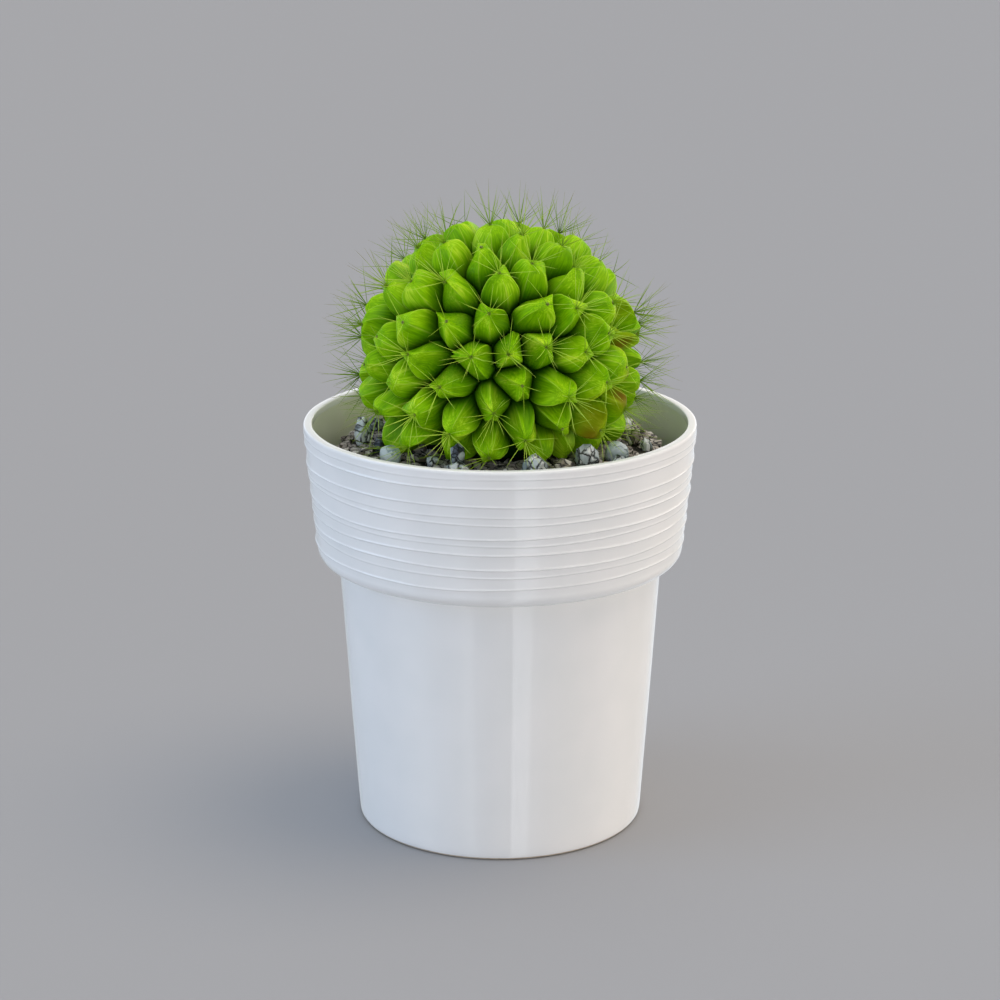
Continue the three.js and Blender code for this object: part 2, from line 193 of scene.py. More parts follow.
def outside_outline():
    taper = (BODY_TOP_RADIUS - FOOT_RADIUS) / COLLAR_BOTTOM
    body = [(FOOT_RADIUS + taper * z, z) for z in np.linspace(3, COLLAR_BOTTOM - 1.6, 26)]
    corner = arc((BODY_TOP_RADIUS + 0.7, COLLAR_BOTTOM - 0.5), 0.7, 180, 90, 5)
    centre = (COLLAR_BOTTOM_RADIUS - COLLAR_EDGE, COLLAR_BOTTOM + COLLAR_EDGE)
    edge = [(centre[0] + 0.6, COLLAR_BOTTOM + 0.12)] + arc(centre, COLLAR_EDGE, -72, 0, 16)
    low = edge[-1][1]
    rows = int((POT_HEIGHT - 2.0 - low) / RIDGE_ROW)
    collar = [(collar_radius(z), z) for z in np.linspace(low, POT_HEIGHT - 0.9, rows)[1:]]
    return body + corner + edge + collar


def inside_outline():
    lip = arc((RIM_RADIUS - 0.6, POT_HEIGHT - 0.6), 0.6, 15, 80, 7)
    lip += [(RIM_RADIUS - 1.2, POT_HEIGHT + 0.02)]
    lip += arc((RIM_RADIUS - 2.1, POT_HEIGHT - 0.5), 0.5, 90, 165, 7)
    wall = [(RIM_RADIUS - 2.75, POT_HEIGHT - 2.0), (RIM_RADIUS - 3.0, POT_HEIGHT - 5)]
    wall += [(RIM_RADIUS - 3.7, POT_HEIGHT - 9), (RIM_RADIUS - 4.3, POT_HEIGHT - 14)]
    wall += [(collar_radius(z) - WALL, z) for z in (108, 100, COLLAR_BOTTOM + 7)]
    wall += [(COLLAR_BOTTOM_RADIUS - WALL - 2, COLLAR_BOTTOM + 2.5)]
    wall += [(BODY_TOP_RADIUS - WALL, COLLAR_BOTTOM - 2.5), (FOOT_RADIUS - WALL + 1, FLOOR + 3)]
    wall += [(FOOT_RADIUS - WALL - 0.4, FLOOR + 0.8), (FOOT_RADIUS - WALL - 2.4, FLOOR)]
    return lip + wall + [(20, FLOOR), (0, FLOOR)]


pot_outline = foot_outline() + outside_outline() + inside_outline()
print("the pot's outline has", len(pot_outline), "points")

# %% [markdown]
# The outline becomes a chain of extruded vertices, which is spun once round. The spin leaves two rows of
# vertices where it ends at its start, and many in one place on the axis, so doubles are merged afterwards.

# %% Spin the outline
POT_STEPS = 256


def spin_outline(points, name, steps):
    """Extrudes a chain of vertices through the points, and spins it about the upright axis."""
    piece = add_primitive("plane", name, size=0.001)
    open_mesh(piece)
    bpy.ops.mesh.merge(type="CENTER")
    bpy.ops.transform.translate(value=Vector((points[0][0], 0, points[0][1])) * MM)
    for (r0, z0), (r1, z1) in zip(points, points[1:]):
        step = Vector((r1 - r0, 0, z1 - z0)) * MM
        bpy.ops.mesh.extrude_vertices_move(TRANSFORM_OT_translate={"value": step})
    bpy.ops.mesh.select_all(action="SELECT")
    bpy.ops.mesh.spin(steps=steps, angle=2 * math.pi, center=(0, 0, 0), axis=(0, 0, 1))
    close_mesh()
    weld_and_face_out(piece)
    return piece


pot = spin_outline(pot_outline, "glazed_pot", POT_STEPS)
print("pot:", len(pot.data.polygons), "faces")

# %% [markdown]
# ## Small helpers for moving vertices
#
# A fine form such as a thin line in clay is made by moving thousands of vertices a little. One by one that
# is slow, so all of a piece's places are read into one array, changed together, and written back.

# %% Helpers for moving many vertices at once
def places_of(piece):
    """The piece's vertices as an array of rows, in millimetres."""
    flat = np.empty(len(piece.data.vertices) * 3, np.float32)
    piece.data.vertices.foreach_get("co", flat)
    return flat.reshape(-1, 3).astype(float) / MM


def set_places(piece, places):
    piece.data.vertices.foreach_set("co", (places * MM).astype(np.float32).ravel())
    piece.data.update()


def smooth_step(low, high, value):
    share = np.clip((value - low) / (high - low), 0, 1)
    return share * share * (3 - 2 * share)


# %% [markdown]
# The collar carries thin lines, as if bands of clay had been smoothed over each other. Each is a tiny lip
# that overhangs the band below. They wander up and down and fade in places, so they can't be part of the
# turned outline. They are pressed in afterwards, by moving the collar's vertices in or out. The strong ones
# are also in the measured model, and the faint ones only here.
#
# The whole pot also gets a very slight unevenness, far too small to see as a shape, which makes the
# reflections in the glaze waver as they do on a real pot. It is a little stronger on the left, where the
# glaze has run.

# %% Press the lines into the collar
RIDGES = [
    # distance below the rim, strength
    (5.2, 1.0),
    (11.2, 0.9),
    (16.4, 0.8),
    (20.7, 1.0),
    (26.3, 1.0),
    (30.0, 1.0),
    (36.7, 1.0),
    (2.9, 0.45),
    (14.1, 0.5),
    (23.2, 0.5),
    (32.7, 0.5),
]
RIDGE_RELIEF = 0.32
RIDGE_BEAD = 0.24  # the narrow rounded edge that catches the light
RIDGE_BEAD_HEIGHT = 0.4
RIDGE_WANDER = 0.35
RIDGE_FADE = 2.4  # the lip of a line fades out over this height above it
RIDGE_SINK = 0.12  # the bands lie this much deeper than the plain collar, so that the lips stay on its line
UNEVEN = (0.03, 0.015)  # broad and less broad waves all round
RUN_WAVE = 0.05  # upright waves where the glaze has run


def ridge_relief(angle, height):
    relief = np.zeros_like(height)
    for i, (drop, strength) in enumerate(RIDGES):
        wander = RIDGE_WANDER * (np.sin(angle + 2.4 * i) + 0.6 * np.sin(3 * angle + 1.7 * i))
        wander += 0.12 * np.sin(7 * angle + 0.9 * i)
        above = height - (POT_HEIGHT - drop + wander)
        patchy = 0.8 + 0.2 * np.sin(2 * angle + 1.1 * i) + 0.15 * np.sin(5 * angle + 2.9 * i)
        over = np.maximum(above, 0)
        lip = RIDGE_RELIEF * np.exp(-over / RIDGE_FADE)
        lip += RIDGE_BEAD * np.exp(-((over / RIDGE_BEAD_HEIGHT) ** 2))
        relief += strength * patchy * smooth_step(-0.26, 0.06, above) * lip
    return relief


def glaze_unevenness(angle, height, x):
    uneven = UNEVEN[0] * np.sin(2 * angle + height / 19) + UNEVEN[1] * np.sin(5 * angle - height / 13)
    run = smooth_step(0.1, 0.5, -x / 50)
    return uneven + RUN_WAVE * run * np.sin(17 * angle + 2.2 * np.sin(height / 17) + 0.6 * np.sin(height / 5))


places = places_of(pot)
radius = np.hypot(places[:, 0], places[:, 1])
angle = np.arctan2(places[:, 1], places[:, 0])
height = places[:, 2]
on_collar = (radius > collar_radius(height) - 1.0) & (height > COLLAR_BOTTOM + 2)
fade_ends = smooth_step(COLLAR_BOTTOM + 2, COLLAR_BOTTOM + 5, height)
fade_ends *= 1 - smooth_step(POT_HEIGHT - 1.8, POT_HEIGHT - 0.7, height)
grown = np.where(on_collar, (ridge_relief(angle, height) - RIDGE_SINK) * fade_ends, 0)
grown += np.where((radius > FOOT_RADIUS) & (height > 1.5), glaze_unevenness(angle, height, places[:, 0]), 0)
places[:, :2] *= (1 + grown / np.maximum(radius, 1))[:, None]
set_places(pot, places)
shade(pot)
print("pot stands out by at most", round(float(grown.max()), 2), "mm on its lines")

# %% [markdown]
# ## Small helpers for materials
#
# Colours are written as the hex values that a screen shows and turned into the linear values that light is
# reckoned in. One function adds a node, sets it and links it. The scale of a pattern is one over the real
# size of its grains, so the functions below take that size in millimetres.

# %% Helpers for materials
def colour(hex_value):
    """A linear colour from an sRGB hex value such as "#8fb52a"."""
    channels = [int(hex_value[i : i + 2], 16) / 255 for i in (1, 3, 5)]
    linear = [c / 12.92 if c <= 0.04045 else ((c + 0.055) / 1.055) ** 2.4 for c in channels]
    return (*linear, 1.0)


def start_nodes(owner):
    """Empties the nodes of a new material or world."""
    owner.use_nodes = True
    owner.node_tree.nodes.clear()
    return owner


def add_node(owner, kind, inputs=None, stops=(), **settings):
    """Adds a node, gives it its own settings, and sets or links its inputs, each named or numbered.

    An input is a value, another node's output, or another node, which stands for its first output. A colour
    ramp also gets stops, which are pairs of a place from 0 to 1 and a hex colour.
    """
    node = owner.node_tree.nodes.new("ShaderNode" + kind)
    for setting, value in settings.items():
        setattr(node, setting, value)
    for socket, value in (inputs or {}).items():
        if isinstance(value, bpy.types.Node):
            value = value.outputs[0]
        if isinstance(value, bpy.types.NodeSocket):
            owner.node_tree.links.new(value, node.inputs[socket])
        else:
            node.inputs[socket].default_value = value
    if stops:
        elements = node.color_ramp.elements
        while len(elements) < len(stops):
            elements.new(0.5)
        for element, (place, hex_value) in zip(elements, stops):
            element.position = place
            element.color = colour(hex_value)
    return node


def finish_material(material, finish):
    """Ends a material with its shader, whose inputs are given."""
    shader = add_node(material, "BsdfPrincipled", finish)
    add_node(material, "OutputMaterial", {"Surface": shader})
    return material


def set_materials(piece, *materials):
    piece.data.materials.clear()
    for material in materials:
        piece.data.materials.append(material)


# %% [markdown]
# ## White glaze
#
# Opaque white stoneware glaze is glass over a white body: a clean white with a sharp, weak reflection, which
# gets strong only at a glancing angle. Its index of refraction is that of glass. The glaze pools a little,
# for which a faint, broad bump stands. Inside, the pot has a thinner, pale glaze with a softer gloss, whose
# grey-green tint is painted green light, as bounced from the plant. The foot ring is wiped clean before
# firing, so it shows the bare, matt, sandy clay.

# %% Make the two glazes and the bare clay
GLAZE_POOL = 14.3  # how wide the pools of thicker glaze are
SAND_GRAIN = 0.714
BARE_BELOW = 0.6  # the faces below this height that look down are bare


def make_grained(name, grain, detail, tones, relief, finish):
    """A material that is mottled by one noise, with grains of a size in mm.

    The tones are the stops of a colour ramp. The relief is a bump's strength and its depth in mm, or None.
    """
    material = start_nodes(bpy.data.materials.new(name))
    place = add_node(material, "TexCoord").outputs["Object"]
    grains = add_node(material, "TexNoise", {"Vector": place, "Scale": 1 / (grain * MM), "Detail": detail})
    inputs = {"Base Color": add_node(material, "ValToRGB", {0: grains}, tones), **finish}
    if relief:
        bump = {"Strength": relief[0], "Distance": relief[1] * MM, "Height": grains}
        inputs["Normal"] = add_node(material, "Bump", bump)
    return finish_material(material, inputs)


def make_glaze(name, low, high, roughness):
    finish = {"Roughness": roughness, "IOR": 1.5}
    return make_grained(name, GLAZE_POOL, 1.0, [(0.3, low), (0.7, high)], (0.06, 0.5), finish)


outer_glaze = make_glaze("white_stoneware_glaze", "#f3f4f3", "#f7f7f6", 0.03)
# The inner glaze is pale, and its grey-green tint is painted green light, as bounced from the plant.
inner_glaze = make_glaze("pale_inner_glaze_painted_green_bounce", "#eceeda", "#f2f4e3", 0.35)
clay_tones = [(0.35, "#b7a894"), (0.65, "#d3c7b4")]
bare_clay = make_grained("bare_fired_clay", SAND_GRAIN, 4.0, clay_tones, (0.4, 0.3), {"Roughness": 0.85})
set_materials(pot, outer_glaze, bare_clay, inner_glaze)
for face in pot.data.polygons:
    faces_in = face.normal.x * face.center.x + face.normal.y * face.center.y < 0
    if face.center.z < BARE_BELOW * MM and face.normal.z < -0.2:
        face.material_index = 1
    elif faces_in and FLOOR < face.center.z / MM < POT_HEIGHT - 1.2:
        face.material_index = 2
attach(pot, "root")
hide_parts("pot")
print("the pot's materials:", [material.name for material in pot.data.materials])

# %% [markdown]
# ## The soil
#
# The pot is filled with gritty soil, low at the wall and heaped round the plant. It is a turned outline
# again, with lumps moved into its top. The grit that lies on it comes later, as separate chips.

# %% Turn and roughen the soil
SOIL_STEPS = 160
SOIL_WALL_LEVEL = 112.5
SOIL_TOP = 119.6
SOIL_GAP = 0.3
HEAP = [
    # distance from the middle, and the height of the soil there
    (0, SOIL_TOP),
    (43, SOIL_TOP),
    (46, SOIL_TOP - 0.4),
    (48, SOIL_TOP - 1.3),
    (50.6, SOIL_WALL_LEVEL + 2.2),
    (55, SOIL_WALL_LEVEL),
]
NECK_RADIUS = 17.0
NECK_TAPER = 4.0
NECK_DEPTH = 14.0
CRUMB_HEIGHT = 0.55


def rough_noise(places, scale, layers, offset=Vector()):
    """Noise at each place, in waves of about 1 / scale mm, each layer half as wide as the last."""
    return np.array([noise.fractal(Vector(place) * scale + offset, 1.0, 2.0, layers) for place in places])


def lumps(x, y):
    """The measured model's broad lumps in the heap."""
    long = np.sin(0.31 * x + 1.3) * np.sin(0.37 * y + 0.4)
    short = np.sin(0.83 * x + 0.53 * y) * np.cos(0.61 * x - 0.77 * y)
    return 0.5 * (0.6 * long + 0.4 * short)


def heap_height(radius):
    """The height of the soil at a distance from the middle."""
    return float(np.interp(radius, *zip(*HEAP)))


def soil_outline():
    wall = [(FOOT_RADIUS - WALL - 2.4, FLOOR + SOIL_GAP), (FOOT_RADIUS - WALL - 0.4, FLOOR + 1.1)]
    wall += [(FOOT_RADIUS - WALL + 1, FLOOR + 3), (BODY_TOP_RADIUS - WALL, COLLAR_BOTTOM - 2.5)]
    wall += [(COLLAR_BOTTOM_RADIUS - WALL - 2, COLLAR_BOTTOM + 2.5)]
    wall += [(COLLAR_BOTTOM_RADIUS - WALL, COLLAR_BOTTOM + 7), (collar_radius(108) - WALL, 108)]
    side = [(radius - SOIL_GAP, z) for radius, z in wall]
    top = [(radius, heap_height(radius)) for radius in np.arange(55, NECK_RADIUS + SOIL_GAP, -0.75)]
    hole_bottom = SOIL_TOP - NECK_DEPTH - SOIL_GAP
    hole = [(NECK_RADIUS + SOIL_GAP, SOIL_TOP), (NECK_RADIUS - NECK_TAPER + SOIL_GAP, hole_bottom)]
    return [(0, FLOOR + SOIL_GAP)] + side + top + hole + [(0, hole_bottom)]


soil = spin_outline(soil_outline(), "gritty_soil", SOIL_STEPS)
places = places_of(soil)
radius = np.hypot(places[:, 0], places[:, 1])
on_top = smooth_step(SOIL_WALL_LEVEL - 1, SOIL_WALL_LEVEL + 2, places[:, 2]) * (radius > NECK_RADIUS + 1)
off_wall = 1 - smooth_step(51, 54.5, radius)
crumbs = CRUMB_HEIGHT * rough_noise(places, 0.28, 4)
places[:, 2] += on_top * off_wall * (lumps(places[:, 0], places[:, 1]) + crumbs)
set_places(soil, places)
shade(soil)
print("soil:", len(soil.data.polygons), "faces")

# %% [markdown]
# ## Repeatable chance
#
# A plant is irregular, but this script has to grow the same plant every time. A draw is therefore worked out
# from two whole numbers: which item it is for, and what it is used for. The measured model uses the same
# rule, so its tubercles and these point the same way.

# %% Repeatable draws
def draw(item, use):
    """A number from 0 to 1."""
    spread = math.sin(item * 127.1 + use * 311.7) * 43758.5453
    return spread - math.floor(spread)


def sway(item, use):
    """A number from -1 to 1."""
    return 2 * draw(item, use) - 1


# %% [markdown]
# ## Pebbles
#
# The stones on the soil are tumbled chips a few millimetres long, with flat sides whose edges are worn
# round. The measured model already holds each stone's flat sides, so a stone starts as a copy of it, with a
# mesh of its own. Stone only loses material when it breaks or wears, so the helpers cut and round.

# %% Helpers for working a stone
def outward_from(places, middle):
    away = places - middle
    return away / np.linalg.norm(away, axis=1)[:, None]


def copy_of(source, name):
    """A copy with its own mesh."""
    made = add_object(name, source.data.copy())
    made.data.name = name
    return made


def apply_modifier(piece, kind, **settings):
    take(piece)
    modifier = piece.modifiers.new(kind.lower(), kind)
    for setting, value in settings.items():
        setattr(modifier, setting, value)
    bpy.ops.object.modifier_apply(modifier=modifier.name)


def slice_off(place, side):
    """Cuts away what an open mesh has beyond a plane, and closes the cut."""
    bpy.ops.mesh.select_all(action="SELECT")
    bpy.ops.mesh.bisect(plane_co=place, plane_no=side, use_fill=True, clear_outer=True)


# %% [markdown]
# A few more flats are cut off each stone, the edges are bevelled, and a little noise takes away the last
# straightness. The pale ones are softer stone and worn quite round. What wear took away is given back by
# stretching each stone to its measured box.

# %% Wear the pebbles smooth
EXTRA_FLATS = 4
WORN_EDGE = 0.35
SHARP_FROM = 14  # the angle between two flats, in degrees, from which their edge counts as sharp
WORN_ROUGHNESS = 0.25
ROUND_ROUGHNESS = 0.1


def round_off(stone):
    """Wears a stone down to a smooth, rounded body."""
    apply_modifier(stone, "SUBSURF", levels=3, render_levels=3)


def break_edges(stone, number):
    """Cuts a few chance flats on a stone, as a break does, and wears only its edges."""
    middle = sum((vertex.co for vertex in stone.data.vertices), Vector()) / len(stone.data.vertices)
    open_mesh(stone)
    for cut in range(EXTRA_FLATS):
        side = Vector([sway(number, 70 + 3 * cut + axis) for axis in range(3)]).normalized()
        reach = max((vertex.co - middle).dot(side) for vertex in stone.data.vertices)
        slice_off(middle + side * reach * (0.8 + 0.12 * draw(number, 90 + cut)), side)
    close_mesh()
    sharp = {"limit_method": "ANGLE", "angle_limit": math.radians(SHARP_FROM)}
    apply_modifier(stone, "BEVEL", width=WORN_EDGE * MM, segments=3, **sharp)
    apply_modifier(stone, "TRIANGULATE")
    apply_modifier(stone, "SUBSURF", subdivision_type="SIMPLE", levels=2, render_levels=2)


def stretch_to_box(places, low, high):
    share = (places - places.min(axis=0)) / np.ptp(places, axis=0)
    return np.array(low) / MM + share * np.array(high - low) / MM


def wear_stone(stone, number, is_soft, box):
    weld_and_face_out(stone, distance=0.01)
    if is_soft:
        round_off(stone)
    else:
        break_edges(stone, number)
    places = places_of(stone)
    roughness = ROUND_ROUGHNESS if is_soft else WORN_ROUGHNESS
    bulge = roughness * rough_noise(places, 0.5, 3, Vector((number * 7.3, 0, 0)))
    worn = places + outward_from(places, places.mean(axis=0)) * bulge[:, None]
    set_places(stone, stretch_to_box(worn, *box))
    shade(stone, 35)
    return stone


slot_of = {row["node"]: row["material_slot"] for row in frame["record"]["subparts"]}
pebble_nodes = sorted(name for name in frame["nodes"] if name.startswith("pebble_"))
pebbles = {}
for number, node in enumerate(pebble_nodes):
    stone = copy_of(frame["nodes"][node], node.replace("pebble", "stone"))
    pebbles[node] = wear_stone(stone, number, slot_of[node] == "pebble_pale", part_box(node))
print("pebbles:", len(pebbles))

# %% [markdown]
# ## Marbled stone
#
# Most of the stones are brecciated marble: sharp-edged pieces of white, pale blue-grey and darker stone, 2
# to 4 mm across, that a dark vein cements together. A Voronoi pattern is just that. Its cells give each
# piece its own tone, and the distance to their borders gives the veins. The same noise bends the pattern, so
# that no vein is straight, and makes the veins wide in one place and thin in another. Tumbling leaves a dull
# gloss.

# %% Make the stone materials
BEND_SIZE = 2.857  # how far apart the bends in a vein are
CLOUD_SIZE = 1.43  # how wide the clouds inside one piece of stone are
TONE_PLACES = (0.15, 0.4, 0.65, 0.85)


def make_stone(name, tones, vein, piece_size, vein_width, roughness):
    """Stone in pieces of a size in mm, each in a tone between the given ones, parted by veins."""
    material = start_nodes(bpy.data.materials.new(name))
    place = add_node(material, "TexCoord").outputs["Object"]
    bend = add_node(material, "TexNoise", {"Vector": place, "Scale": 1 / (BEND_SIZE * MM), "Detail": 3.0})
    bend_by = Vector((1, 1, 1)) * piece_size * 0.9 * MM
    bent = {0: bend.outputs["Color"], 1: bend_by, 2: place}
    bent = add_node(material, "VectorMath", bent, operation="MULTIPLY_ADD")
    pattern = {"Vector": bent, "Scale": 1 / (piece_size * MM)}
    border = add_node(material, "TexVoronoi", pattern, feature="DISTANCE_TO_EDGE")
    piece = add_node(material, "TexVoronoi", pattern, feature="F1")
    width = {"Value": bend, "From Min": 0.35, "From Max": 0.65, "To Min": 0.02, "To Max": 2 * vein_width}
    width = add_node(material, "MapRange", width)
    in_vein = {"Value": border, "From Max": width, "To Min": 1.0, "To Max": 0.0}
    in_vein = add_node(material, "MapRange", in_vein, interpolation_type="SMOOTHSTEP")
    clouds = add_node(material, "TexNoise", {"Vector": bent, "Scale": 1 / (CLOUD_SIZE * MM), "Detail": 4.0})
    chance_tone = add_node(material, "SeparateXYZ", {0: piece.outputs["Color"]})
    mixed_tone = add_node(material, "Mix", {0: 0.35, 2: chance_tone, 3: clouds})
    tone = add_node(material, "ValToRGB", {0: mixed_tone}, list(zip(TONE_PLACES, tones)))
    surface = add_node(material, "MixRGB", {"Fac": in_vein, "Color1": tone, "Color2": colour(vein)})
    relief = {"Strength": 0.7, "Distance": 0.3 * MM, "Height": in_vein}
    bump = add_node(material, "Bump", relief, invert=True)
    return finish_material(
        material, {"Base Color": surface, "Roughness": roughness, "IOR": 1.55, "Normal": bump}
    )


stone_materials = {
    "pebble_marbled": make_stone(
        "tumbled_breccia_marble", ("#8d9aa0", "#c3ced3", "#e9eef0", "#fdfdfd"), "#0b0d0f", 3.6, 0.12, 0.35
    ),
    "pebble_pale": make_stone(
        "polished_pale_marble", ("#a2b5bd", "#b4c6cd", "#c4d2d7", "#d8e2e5"), "#8aa0ab", 8.0, 0.02, 0.35
    ),
    "pebble_brown": make_stone(
        "tumbled_brown_marble", ("#857d6b", "#b8b09d", "#dad5c6", "#f0ece2"), "#14110e", 3.2, 0.12, 0.45
    ),
    "pebble_dark": make_stone(
        "tumbled_slate", ("#333843", "#69727f", "#a9b4bf", "#e2e8ed"), "#0b0c0e", 2.4, 0.13, 0.4
    ),
}
for node, stone in pebbles.items():
    set_materials(stone, stone_materials[slot_of[node]])
    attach(stone, "root")
    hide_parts(node)
print("stone materials:", [material.name for material in stone_materials.values()])

# %% [markdown]
# ## Grit
#
# The soil is top-dressed with broken stone, in flat angular chips of 2 to 5 mm. A chip is a block with its
# corners cut off at chance angles, which is what a crusher does. Four such chips are cut, and each is copied
# many times below.

# %% Cut four chips
CHIP_KINDS = 4
CHIP_CUTS = 7
chance = random.Random(7)


def cut_chip(number):
    """A block 2 mm wide with its corners cut off. Each copy is stretched to its own size later."""
    chip = add_primitive("cube", f"chip_{number}", size=2 * MM)
    open_mesh(chip)
    for cut in range(CHIP_CUTS):
        side = Vector([chance.gauss(0, 1) for _ in range(3)]).normalized()
        slice_off(side * chance.uniform(0.72, 0.98) * MM, side)
    close_mesh()
    chip.data.validate()  # drops a face that a cut has filled twice
    return chip


chip_kinds = [cut_chip(number) for number in range(CHIP_KINDS)]
print("faces of the chips:", [len(chip.data.polygons) for chip in chip_kinds])

# %% [markdown]
# The chips are turned and sized by chance, and sunk halfway into the soil. They keep clear of the pebbles,
# and lie thinner near the plant and in front of it. The near-black soil that shows between them there is
# painted shade, under the leaning plant.

# %% Scatter the chips
CHIP_COUNT = 640
CHIP_HALF_SIZE = (1.1, 2.5)
CHIP_FLATNESS = 0.55
CHIP_SINK = 0.05  # how much of its size a chip's middle lies above the soil
GRIT_RING = (24, 51.5)  # the distances from the middle between which grit lies
# Where the grit lies thin, the near-black soil between the chips stands as painted shade under the plant.
PAINTED_SHADE_RADIUS = 47  # nearer to the middle than this, the grit lies thin
PAINTED_SHADE_FRONT, PAINTED_SHADE_HALF_WIDTH = -40, 26  # and in front of this line, up to this far to either side
PAINTED_SHADE_GAP_SHARE = 0.65  # the share of chips that is left out where the grit lies thin


def join_into(pieces, name):
    """Joins several pieces into the first one."""
    take(*pieces)
    bpy.ops.object.join()
    pieces[0].name = pieces[0].data.name = name
    return pieces[0]


def discard(*pieces):
    for piece in pieces:
        mesh = piece.data
        bpy.data.objects.remove(piece)
        bpy.data.meshes.remove(mesh)


def lies_thin_for_painted_shade(x, y, out):
    return out < PAINTED_SHADE_RADIUS or (y < PAINTED_SHADE_FRONT and abs(x) < PAINTED_SHADE_HALF_WIDTH)


def pebble_circle(node):
    """A pebble's middle seen from above, and half its width."""
    low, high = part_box(node)
    return (low.x + high.x) / 2 / MM, (low.y + high.y) / 2 / MM, (high.x - low.x) / 2 / MM


def scatter_chips(count):
    stones = [pebble_circle(node) for node in pebble_nodes]
    chips = []
    taken = []
    while len(chips) < count:
        out = math.sqrt(chance.uniform(GRIT_RING[0] ** 2, GRIT_RING[1] ** 2))
        turn = chance.uniform(0, 2 * math.pi)
        x, y = out * math.cos(turn), out * math.sin(turn)
        if lies_thin_for_painted_shade(x, y, out) and chance.random() < PAINTED_SHADE_GAP_SHARE:
            continue
        size = chance.uniform(*CHIP_HALF_SIZE)
        size *= 0.75 if out > 48 else 1
        spin = Matrix.Rotation(chance.uniform(0, 2 * math.pi), 4, "Z")
        spin @= Matrix.Rotation(chance.uniform(-0.4, 0.4), 4, "X")
        kind = chance.randrange(CHIP_KINDS)
        clear = all(math.hypot(x - a, y - b) > c + size * 0.55 for a, b, c in stones)
        apart = all(math.hypot(x - a, y - b) > 0.62 * (size + c) for a, b, c in taken)
        if not clear or not (apart or chance.random() < 0.02):
            continue
        taken.append((x, y, size))
        level = heap_height(out) + float(lumps(x, y)) + size * CHIP_SINK
        flat = Matrix.Diagonal((size, size * chance.uniform(0.7, 1), size * CHIP_FLATNESS, 1))
        chip = copy_of(chip_kinds[kind], f"chip_copy_{len(chips)}")
        chip.data.transform(Matrix.Translation(Vector((x, y, level)) * MM) @ spin @ flat)
        chips.append(chip)
    return chips


grit = join_into(scatter_chips(CHIP_COUNT), "stone_grit")
discard(*chip_kinds)
shade(grit, 25)
print("grit:", len(grit.data.polygons), "faces")

# %% [markdown]
# ## Soil and grit materials
#
# The soil itself is dark, damp-looking humus and sand. The chips are the same marble as the pebbles but
# dustier and browner, with the same dark cracks, here closer together.

# %% Make the soil and give out the materials
SOIL_GRAIN = 1.11

soil_tones = [(0.35, "#090706"), (0.6, "#1d1916"), (0.78, "#6b635b")]
grit_tones = ("#6d6360", "#a39892", "#c4bab5", "#e0dad6")
humus = make_grained("dark_gritty_humus", SOIL_GRAIN, 6.0, soil_tones, (0.9, 0.6), {"Roughness": 0.95})
crushed_marble = make_stone("crushed_marble_grit", grit_tones, "#0a0908", 2.8, 0.07, 0.6)
for piece, material in ((soil, humus), (grit, crushed_marble)):
    set_materials(piece, material)
    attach(piece, "root")
    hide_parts("soil")
print("soil materials:", humus.name, crushed_marble.name)

# %% [markdown]
# ## The plant: where its tubercles stand
#
# A cactus of this kind carries its spines on long tubercles, which stand in spirals from the growing point.
# Here the growing point leans out towards the front. Each new tubercle is turned from the last by the golden
# angle, as on the real plant, so the whole order follows from one rule. A tubercle above a pebble is a
# little shorter, and one that would lie under the soil isn't grown.

# %% Place the tubercles
PLANT_HEIGHT = 145.0
PLANT_RADIUS = 43.7
CROWN_LEAN = math.radians(11.6)
CROWN_SIDE = math.radians(3)
CROWN_PHASE = math.radians(78.7)
TUBERCLES = 140
TIP_LEAN = 1.5  # how far a tip may stand off to one side
LOWEST_TIP = SOIL_TOP - 3.0
PEBBLE_ROOM = 4.5  # how far a tip keeps from a pebble
GOLDEN_ANGLE = math.pi * (3 - math.sqrt(5))

UP = Vector((0, 0, 1))
plant_middle = UP * PLANT_HEIGHT
crown_level = math.cos(CROWN_LEAN)
crown_axis = Vector(
    (math.sin(CROWN_SIDE) * crown_level, -math.cos(CROWN_SIDE) * crown_level, math.sin(CROWN_LEAN))
)
crown_right = UP.cross(crown_axis).normalized()
crown_up = crown_axis.cross(crown_right).normalized()


def pebble_ball(node):
    """A pebble's middle, and half its greatest width."""
    low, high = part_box(node)
    return (low + high) / 2 / MM, max(high - low) / 2 / MM


pebble_balls = [pebble_ball(node) for node in pebble_nodes]


def tubercle(i):
    even = math.acos(1 - 2 * (i + 0.5) / TUBERCLES)
    polar = even * (1 - 0.28 * math.exp(-((even / 0.26) ** 2))) + 0.03 * sway(i, 1)
    turn = CROWN_PHASE - i * GOLDEN_ANGLE + 0.05 * sway(i, 2)
    outward = crown_axis * math.cos(polar)
    outward += crown_right * math.sin(polar) * math.cos(turn)
    outward += crown_up * math.sin(polar) * math.sin(turn)
    outward.normalize()
    reach = PLANT_RADIUS - 1.2 * math.exp(-((even / 0.5) ** 2)) + 1.1 * sway(i, 3)
    tip = plant_middle + outward * reach
    into_room = max(PEBBLE_ROOM - ((middle - tip).length - half) for middle, half in pebble_balls)
    reach -= min(max(into_room, 0), PEBBLE_ROOM)
    lean = Vector((sway(i, 7), sway(i, 8), sway(i, 9))) * TIP_LEAN
    return {
        "number": i,
        "outward": outward,
        "reach": reach,
        "lean": lean - outward * lean.dot(outward),
        "youth": math.exp(-((even / 0.55) ** 2)),
        "grown": PLANT_HEIGHT + outward.z * reach > LOWEST_TIP,
    }


tubercles = [tubercle(i) for i in range(TUBERCLES)]
grown_ones = [one for one in tubercles if one["grown"]]
print("tubercles above the soil:", len(grown_ones))

